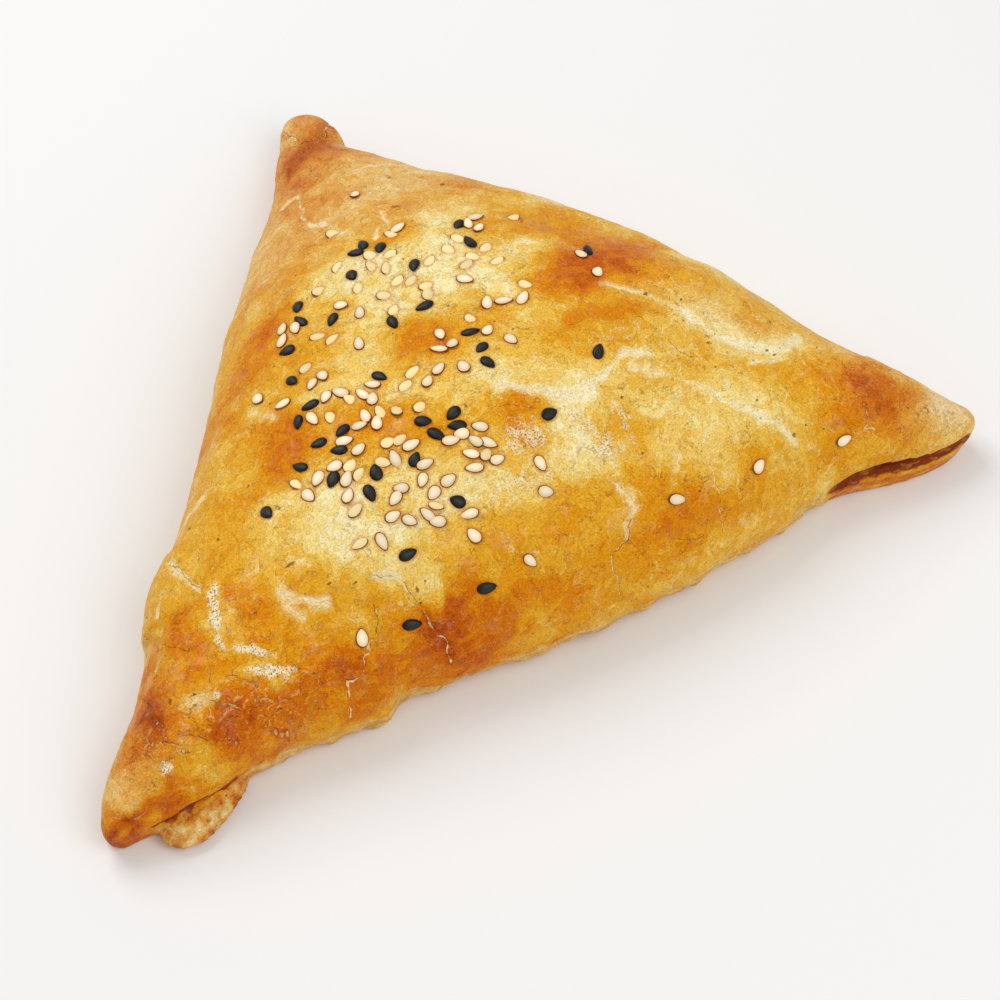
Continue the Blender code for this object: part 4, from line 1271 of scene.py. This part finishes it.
BLACK_SPOTS = (
    (-37.1, -26.0, -72), (-26.3, -27.8, 218), (-20.0, -30.2, 72), (-22.4, -32.8, -100), (-21.2, -43.2, 0),
    (-23.2, -23.7, 150), (-23.0, -5.9, -75), (-23.1, -13.1, 170), (-26.0, -14.6, -125), (-25.2, -20.6, 175),
    (-21.1, -20.7, 210), (-29.4, -22.3, 130), (-9.7, -26.2, -30), (-5.0, -27.4, 200), (-8.9, -29.2, -62),
    (-5.4, -29.5, 155), (-13.8, -31.3, 40), (8.9, -33.5, 8), (-10.7, -39.8, 130), (-4.4, -5.0, -95),
    (1.4, -4.9, 175), (-11.5, -14.5, -65), (5.0, -14.1, -20), (4.9, -18.2, 205), (4.2, -21.6, -75),
    (-14.9, 9.1, -118), (-16.0, 5.6, 105), (-20.6, 1.1, 165), (-11.8, 2.2, -135), (-5.1, 8.7, -93),
    (-2.2, 13.2, 150), (-0.3, 14.3, 88), (1.5, 11.4, -120), (4.1, 4.1, -115), (15.0, 9.4, 215),
    (14.5, 4.4, 95), (31.4, -5.3, 65), (21.5, -26.5, 55), (-24.6, -51.0, -25), (-11.8, -51.5, -10),
)
PALE_SPOTS = (
    (-30.6, -27.8, -70), (-28.1, -26.1, 220), (-25.1, -25.9, 170), (-24.5, -28.9, 50), (-25.6, -31.6, 45),
    (-20.9, -37.6, 0), (-18.8, -39.2, -60), (-24.1, -40.1, -90), (-17.8, -34.4, 160), (-19.3, -35.4, 210),
    (-16.4, -29.6, 85), (-15.9, -39.6, 120), (-14.9, -41.1, 150), (-20.6, -25.4, 20), (-13.2, -29.0, -5),
    (-12.7, -32.7, 5), (-14.2, -34.7, 225), (-7.4, -31.2, -20), (-5.4, -31.0, 155), (-4.0, -33.0, 110),
    (-2.3, -34.0, -50), (-5.6, -34.5, 140), (-6.1, -36.6, 165), (-2.2, -36.8, 0), (-10.6, -36.5, 10),
    (-13.5, -37.2, 215), (-9.8, -42.0, 165), (-10.6, -45.0, 100), (3.9, -39.7, -88), (2.8, -43.6, -40),
    (-26.2, -9.2, 170), (-20.9, -9.1, 225), (-18.7, -8.5, -85), (-24.0, -15.7, -90), (-20.4, -13.2, 230),
    (-18.1, -13.8, 125), (-15.4, -16.3, 110), (-18.5, -21.5, -30), (-16.9, -20.3, 80), (-16.0, -22.6, 60),
    (-21.8, -22.7, -20), (-10.8, -5.6, 65), (-13.2, -15.4, 130), (-14.5, -18.0, 60), (0.6, -12.0, -105),
    (-1.2, -15.1, 130), (1.3, -15.0, 60), (7.6, -15.0, 40), (0.4, -20.5, 88), (-3.1, -18.8, 25),
    (-19.0, 6.4, 40), (-17.4, 4.8, -90), (-20.2, 3.9, 40), (-9.4, 3.9, -45), (6.2, 14.2, 20),
    (16.6, 9.1, 60), (17.7, 7.3, 45), (18.6, 10.3, 0), (9.6, -3.3, -50), (10.4, -9.5, 60),
    (12.9, -10.5, -25), (15.9, -11.5, 40), (29.6, -6.0, 100), (29.9, -11.1, 45), (9.9, -18.6, -70),
    (5.3, 29.0, 60), (-32.8, -50.1, 80), (-3.9, -51.0, -70), (22.5, -51.0, -25), (38.0, -50.5, 40),
    (54.8, -50.0, 0), (-7.7, 0.4, 70), (-28.6, -4.7, -70), (-5.7, -20.0, 48), (-2.3, -31.2, 140),
)
GLAZED_SPOTS = (
    (-31.0, -24.8, -45), (-22.4, -29.2, 45), (-25.6, -34.2, 20), (-27.4, -39.0, 185), (-18.3, -29.2, -45),
    (-23.0, -27.1, 30), (-14.3, -27.2, 20), (-16.1, -26.6, 20), (-3.4, -35.4, 50), (-14.0, -38.9, -50),
    (-20.1, -4.9, 25), (-17.4, -15.9, 120), (-21.5, -17.0, 240), (-14.6, -20.9, 90), (6.5, -11.4, -60),
    (-6.8, -16.8, 15), (-9.0, -18.8, 25), (-10.7, 9.5, 0), (-15.3, 0.5, -20), (-13.7, -1.9, 10),
    (4.6, 13.4, 130), (-0.6, 10.6, -60), (0.1, 6.4, 60), (10.5, 4.3, -65), (2.1, 1.3, 35),
    (-2.9, 1.0, -45), (0.2, 2.5, 30), (11.4, -0.5, 20), (16.2, 1.9, 35), (13.3, 0.9, -50),
    (16.2, -2.0, 10), (17.8, -9.0, -60), (24.5, 8.2, 10), (-3.0, -2.6, 30), (3.0, -2.8, 70),
    (-1.6, 8.2, 110), (1.9, 8.6, 10), (6.7, 3.6, 30), (-5.6, 5.4, 60), (13.1, 5.9, 120),
    (-2.5, 21.3, -25), (-8.8, -23.6, 10), (-12.3, -22.0, 70), (3.6, -1.2, 0), (-6.0, 12.4, 40),
)


class SeedKind(Enum):
    """The two kinds of sesame seed."""

    PALE = "pale"
    BLACK = "black"


@dataclass
class SesameSeeds:
    """All seeds of one kind. A spot is a place in the plan and the way that the seed's point faces."""

    kind: SeedKind
    spots: tuple[tuple[float, float, float], ...]
    glazed_spots: tuple[tuple[float, float, float], ...] = ()
    length: float = 0.0030
    width: float = 0.00195
    thickness: float = 0.0008
    lift: float = 0.00012
    glazed_lift: float = -0.00012
    tilt: float = 0.14
    seed: int = 4
    segments: int = 8
    rings: int = 9
    drop_height: float = 0.06

    def build(self, crust: bpy.types.Object, material: bpy.types.Material) -> bpy.types.Object:
        """Make the seeds as one plain mesh.

        Args:
            crust: The piece that the seeds lie on.
            material: The seeds' material.

        Returns:
            The finished piece.
        """
        name = f"{self.kind.value}_sesame_seeds"
        spots = self.spots + self.glazed_spots
        guide = bpy.data.meshes.new("places")
        guide.from_pydata([(x * MM, y * MM, self.drop_height) for x, y, _ in spots], [], [])
        store(guide, "turn", np.radians([turn for _, _, turn in spots]))
        store(guide, "glaze", np.array([0.0] * len(self.spots) + [1.0] * len(self.glazed_spots)))
        item = bpy.data.objects.new(name, guide)
        bpy.context.scene.collection.objects.link(item)
        shape = self._shape()
        modifier = item.modifiers.new("sow", "NODES")
        modifier.node_group = sowing_tree()
        sockets = {socket.name: socket.identifier for socket in modifier.node_group.interface.items_tree}
        for socket, value in (
            ("Crust", crust),
            ("Shape", shape),
            ("Material", material),
            ("Lift", self.lift),
            ("Glazed Lift", self.glazed_lift),
            ("Tilt", self.tilt),
            ("Seed", self.seed),
        ):
            modifier[sockets[socket]] = value
        evaluated = item.evaluated_get(bpy.context.evaluated_depsgraph_get())
        mesh = bpy.data.meshes.new_from_object(evaluated)
        item.modifiers.clear()
        item.data = mesh
        mesh.name = name
        bpy.data.meshes.remove(guide)
        bpy.data.objects.remove(shape)
        return item

    def _shape(self) -> bpy.types.Object:
        """Return one seed: a flat drop, pointed towards +X, that knows how near its edge each point is."""
        body = bmesh.new()
        bmesh.ops.create_uvsphere(body, u_segments=self.segments, v_segments=self.rings, radius=1.0)
        bmesh.ops.rotate(body, verts=body.verts, matrix=Matrix.Rotation(math.pi / 2.0, 3, "Y"))
        edge = []
        for vert in body.verts:
            x, y, z = vert.co
            girth = math.hypot(y, z)
            edge.append(math.sqrt(max(0.0, 1.0 - z * z)) if girth > 1e-4 else 1.0)
            taper = 1.0 - 0.42 * ((x + 1.0) / 2.0) ** 2.0
            vert.co.x = x * self.length / 2.0
            vert.co.y = y * taper * self.width / 2.0 * 1.1
            vert.co.z = z * (0.5 + 0.5 * taper) * self.thickness / 2.0
        mesh = bpy.data.meshes.new("seed")
        body.to_mesh(mesh)
        body.free()
        mesh.shade_smooth()
        store(mesh, "rim", np.array(edge))
        shape = bpy.data.objects.new("seed", mesh)
        bpy.context.scene.collection.objects.link(shape)
        return shape


def sowing_tree() -> bpy.types.NodeTree:
    """Make, or fetch, the geometry nodes that set seeds down on the crust.

    Returns:
        A tree that drops its points straight down on the crust, sets a seed at each, and turns it
        to lie on the crust with its point facing the way that the point's turn says.
    """
    known = bpy.data.node_groups.get("sow_seeds")
    if known:
        return known
    tree = bpy.data.node_groups.new("sow_seeds", "GeometryNodeTree")
    for name, kind in (
        ("Geometry", "NodeSocketGeometry"),
        ("Crust", "NodeSocketObject"),
        ("Shape", "NodeSocketObject"),
        ("Material", "NodeSocketMaterial"),
        ("Lift", "NodeSocketFloat"),
        ("Glazed Lift", "NodeSocketFloat"),
        ("Tilt", "NodeSocketFloat"),
        ("Seed", "NodeSocketInt"),
    ):
        tree.interface.new_socket(name, in_out="INPUT", socket_type=kind)
    tree.interface.new_socket("Geometry", in_out="OUTPUT", socket_type="NodeSocketGeometry")
    graph = Graph(tree)
    entry = graph.add("NodeGroupInput").outputs
    crust = graph.add("GeometryNodeObjectInfo", {"Object": entry["Crust"]}).outputs["Geometry"]
    points = graph.add("GeometryNodeMeshToPoints", {"Mesh": entry["Geometry"]}).outputs["Points"]
    drop = graph.add("GeometryNodeRaycast", {"Target Geometry": crust, "Ray Direction": (0.0, 0.0, -1.0),
                                             "Ray Length": 0.2}).outputs
    glaze = graph.add("GeometryNodeInputNamedAttribute", {"Name": "glaze"}).outputs["Attribute"]
    lift = graph.add("ShaderNodeMapRange", {"Value": glaze, "To Min": entry["Lift"],
                                            "To Max": entry["Glazed Lift"]}).outputs["Result"]
    raised = graph.add("ShaderNodeVectorMath", {0: drop["Hit Normal"], "Scale": lift}, operation="SCALE").outputs[0]
    landed = graph.add("ShaderNodeVectorMath", {0: drop["Hit Position"], 1: raised}, operation="ADD").outputs[0]
    landed = graph.add("GeometryNodeSetPosition", {"Geometry": points, "Position": landed}).outputs[0]
    turn = graph.add("GeometryNodeInputNamedAttribute", {"Name": "turn"}).outputs["Attribute"]
    heading = graph.add("ShaderNodeCombineXYZ", {"Z": turn}).outputs[0]
    facing = graph.add("ShaderNodeVectorRotate", {"Vector": (1.0, 0.0, 0.0), "Rotation": heading},
                       rotation_type="EULER_XYZ").outputs[0]
    upright = graph.add("FunctionNodeAxesToRotation", {"Primary Axis": drop["Hit Normal"], "Secondary Axis": facing},
                        primary_axis="Z", secondary_axis="X").outputs[0]
    low = graph.calc("MULTIPLY", entry["Tilt"], -1.0)
    least = graph.add("ShaderNodeCombineXYZ", {"X": low, "Y": low, "Z": -0.12}).outputs[0]
    most = graph.add("ShaderNodeCombineXYZ", {"X": entry["Tilt"], "Y": entry["Tilt"], "Z": 0.12}).outputs[0]
    rock = graph.add("FunctionNodeRandomValue", {0: least, 1: most, "Seed": entry["Seed"]},
                     data_type="FLOAT_VECTOR").outputs["Value"]
    turned = graph.add("FunctionNodeRotateRotation", {"Rotation": upright, "Rotate By": rock},
                       rotation_space="LOCAL").outputs[0]
    size = graph.add("FunctionNodeRandomValue", {0: (0.88, 0.88, 0.8), 1: (1.08, 1.1, 1.15), "Seed": 11},
                     data_type="FLOAT_VECTOR").outputs["Value"]
    shape = graph.add("GeometryNodeObjectInfo", {"Object": entry["Shape"]}).outputs["Geometry"]
    sown = graph.add("GeometryNodeInstanceOnPoints", {"Points": landed, "Instance": shape, "Rotation": turned,
                                                      "Scale": size}).outputs[0]
    tint = graph.add("FunctionNodeRandomValue", {"Seed": 29}, data_type="FLOAT").outputs[1]
    tinted = graph.add("GeometryNodeStoreNamedAttribute", {"Geometry": sown, "Name": "tint", "Value": tint},
                       data_type="FLOAT", domain="INSTANCE").outputs[0]
    real = graph.add("GeometryNodeRealizeInstances", {"Geometry": tinted}).outputs[0]
    dressed = graph.add("GeometryNodeSetMaterial", {"Geometry": real, "Material": entry["Material"]}).outputs[0]
    graph.add("NodeGroupOutput", {"Geometry": dressed})
    return tree


# ---------------------------------------------------------------- studio


@dataclass
class Studio:
    """Pale floor, soft light and the camera."""

    floor_size: float = 3.0
    camera_azimuth: float = -27.9
    camera_elevation: float = 55.0
    camera_distance: float = 0.4816
    camera_target: tuple[float, float, float] = (-0.0001, -0.0338, 0.0134)
    lens: float = 107.6

    def build(self) -> None:
        """Make the floor, the lights and the camera."""
        scene = bpy.context.scene
        scene.view_settings.view_transform = "Standard"
        world = bpy.data.worlds.new("studio")
        world.use_nodes = True
        world.node_tree.nodes["Background"].inputs["Color"].default_value = (1.0, 0.985, 0.96, 1.0)
        world.node_tree.nodes["Background"].inputs["Strength"].default_value = 0.5
        scene.world = world
        half = self.floor_size / 2.0
        mesh = bpy.data.meshes.new("floor")
        mesh.from_pydata([(-half, -half, 0), (half, -half, 0), (half, half, 0), (-half, half, 0)], [], [(0, 1, 2, 3)])
        floor = bpy.data.objects.new("floor", mesh)
        scene.collection.objects.link(floor)
        paper = bpy.data.materials.new("pale_paper")
        paper.use_nodes = True
        paper.node_tree.nodes["Principled BSDF"].inputs["Base Color"].default_value = (0.9, 0.9, 0.9, 1.0)
        paper.node_tree.nodes["Principled BSDF"].inputs["Roughness"].default_value = 0.9
        mesh.materials.append(paper)
        self._light("window", (-0.15, 0.45, 0.6), 0.5, 2.6)
        self._light("fill", (0.15, -0.5, 0.6), 0.6, 2.2)
        self._camera()

    def _light(self, name: str, place: tuple[float, float, float], size: float, watts: float) -> None:
        """Add a square soft light that faces the parcel."""
        lamp = bpy.data.lights.new(name, "AREA")
        lamp.size = size
        lamp.energy = watts
        item = bpy.data.objects.new(name, lamp)
        item.location = place
        item.rotation_euler = (-Vector(place)).to_track_quat("-Z", "Y").to_euler()
        bpy.context.scene.collection.objects.link(item)

    def _camera(self) -> None:
        """Add the camera, looking down on the parcel from its left front."""
        azimuth, elevation = math.radians(self.camera_azimuth), math.radians(self.camera_elevation)
        away = Vector((
            math.sin(azimuth) * math.cos(elevation),
            -math.cos(azimuth) * math.cos(elevation),
            math.sin(elevation),
        ))
        data = bpy.data.cameras.new("camera")
        data.lens = self.lens
        data.clip_start = 0.01
        camera = bpy.data.objects.new("camera", data)
        camera.location = Vector(self.camera_target) + away * self.camera_distance
        camera.rotation_euler = (-away).to_track_quat("-Z", "Y").to_euler()
        bpy.context.scene.collection.objects.link(camera)
        bpy.context.scene.camera = camera


# ---------------------------------------------------------------- assembly


def measure_seeds(crust: bpy.types.Object, pieces: list[bpy.types.Object], reach: float) -> None:
    """Store how far the crust lies from the nearest seed, in millimetres, for a painted contact shade there.

    Args:
        crust: The crust.
        pieces: The pieces of seeds.
        reach: Largest distance that is looked for, in millimetres.
    """
    vertices, polygons = [], []
    for piece in pieces:
        start = len(vertices)
        vertices.extend(vert.co / MM for vert in piece.data.vertices)
        polygons.extend([start + index for index in face.vertices] for face in piece.data.polygons)
    tree = BVHTree.FromPolygons(vertices, polygons)
    distances = np.full(len(crust.data.vertices), reach)
    for index, vert in enumerate(crust.data.vertices):
        distance = tree.find_nearest(vert.co / MM, reach)[3]
        if distance is not None:
            distances[index] = distance
    store(crust.data, Layer.SEED.value, distances)


def main() -> None:
    """Build every piece, attach it to the body, and log its name and face count."""
    logging.basicConfig(level=logging.INFO, format="%(name)s: %(message)s")
    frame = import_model()
    Studio().build()
    grain = make_grain_group()
    crust = Crust().build(frame["nodes"][NODE], CrustFinish().make(grain))
    black = SesameSeeds(SeedKind.BLACK, BLACK_SPOTS, seed=3)
    pale = SesameSeeds(SeedKind.PALE, PALE_SPOTS, GLAZED_SPOTS)
    # The second and third colours are painted shade on each seed's shoulders and edge.
    black_finish = SeedFinish("black_sesame", srgb(44, 42, 34), srgb(24, 21, 17), srgb(10, 7, 6),
                              srgb(44, 42, 34), srgb(10, 7, 6), 0.4)
    pale_finish = SeedFinish("pale_sesame", srgb(255, 242, 212), srgb(250, 218, 168), srgb(116, 46, 16),
                             srgb(252, 228, 162), srgb(132, 76, 26), 0.5)
    black_piece = black.build(crust, black_finish.make(grain))
    pale_piece = pale.build(crust, pale_finish.make(grain))
    measure_seeds(crust, [black_piece, pale_piece], 1.5)
    for piece, slot in ((crust, "crust"), (black_piece, "black_sesame"), (pale_piece, "pale_sesame")):
        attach(piece, BODY)
        LOG.info("%s: %d faces", piece.name, len(piece.data.polygons))
    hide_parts(NODE)


if __name__ == "__main__":
    main()
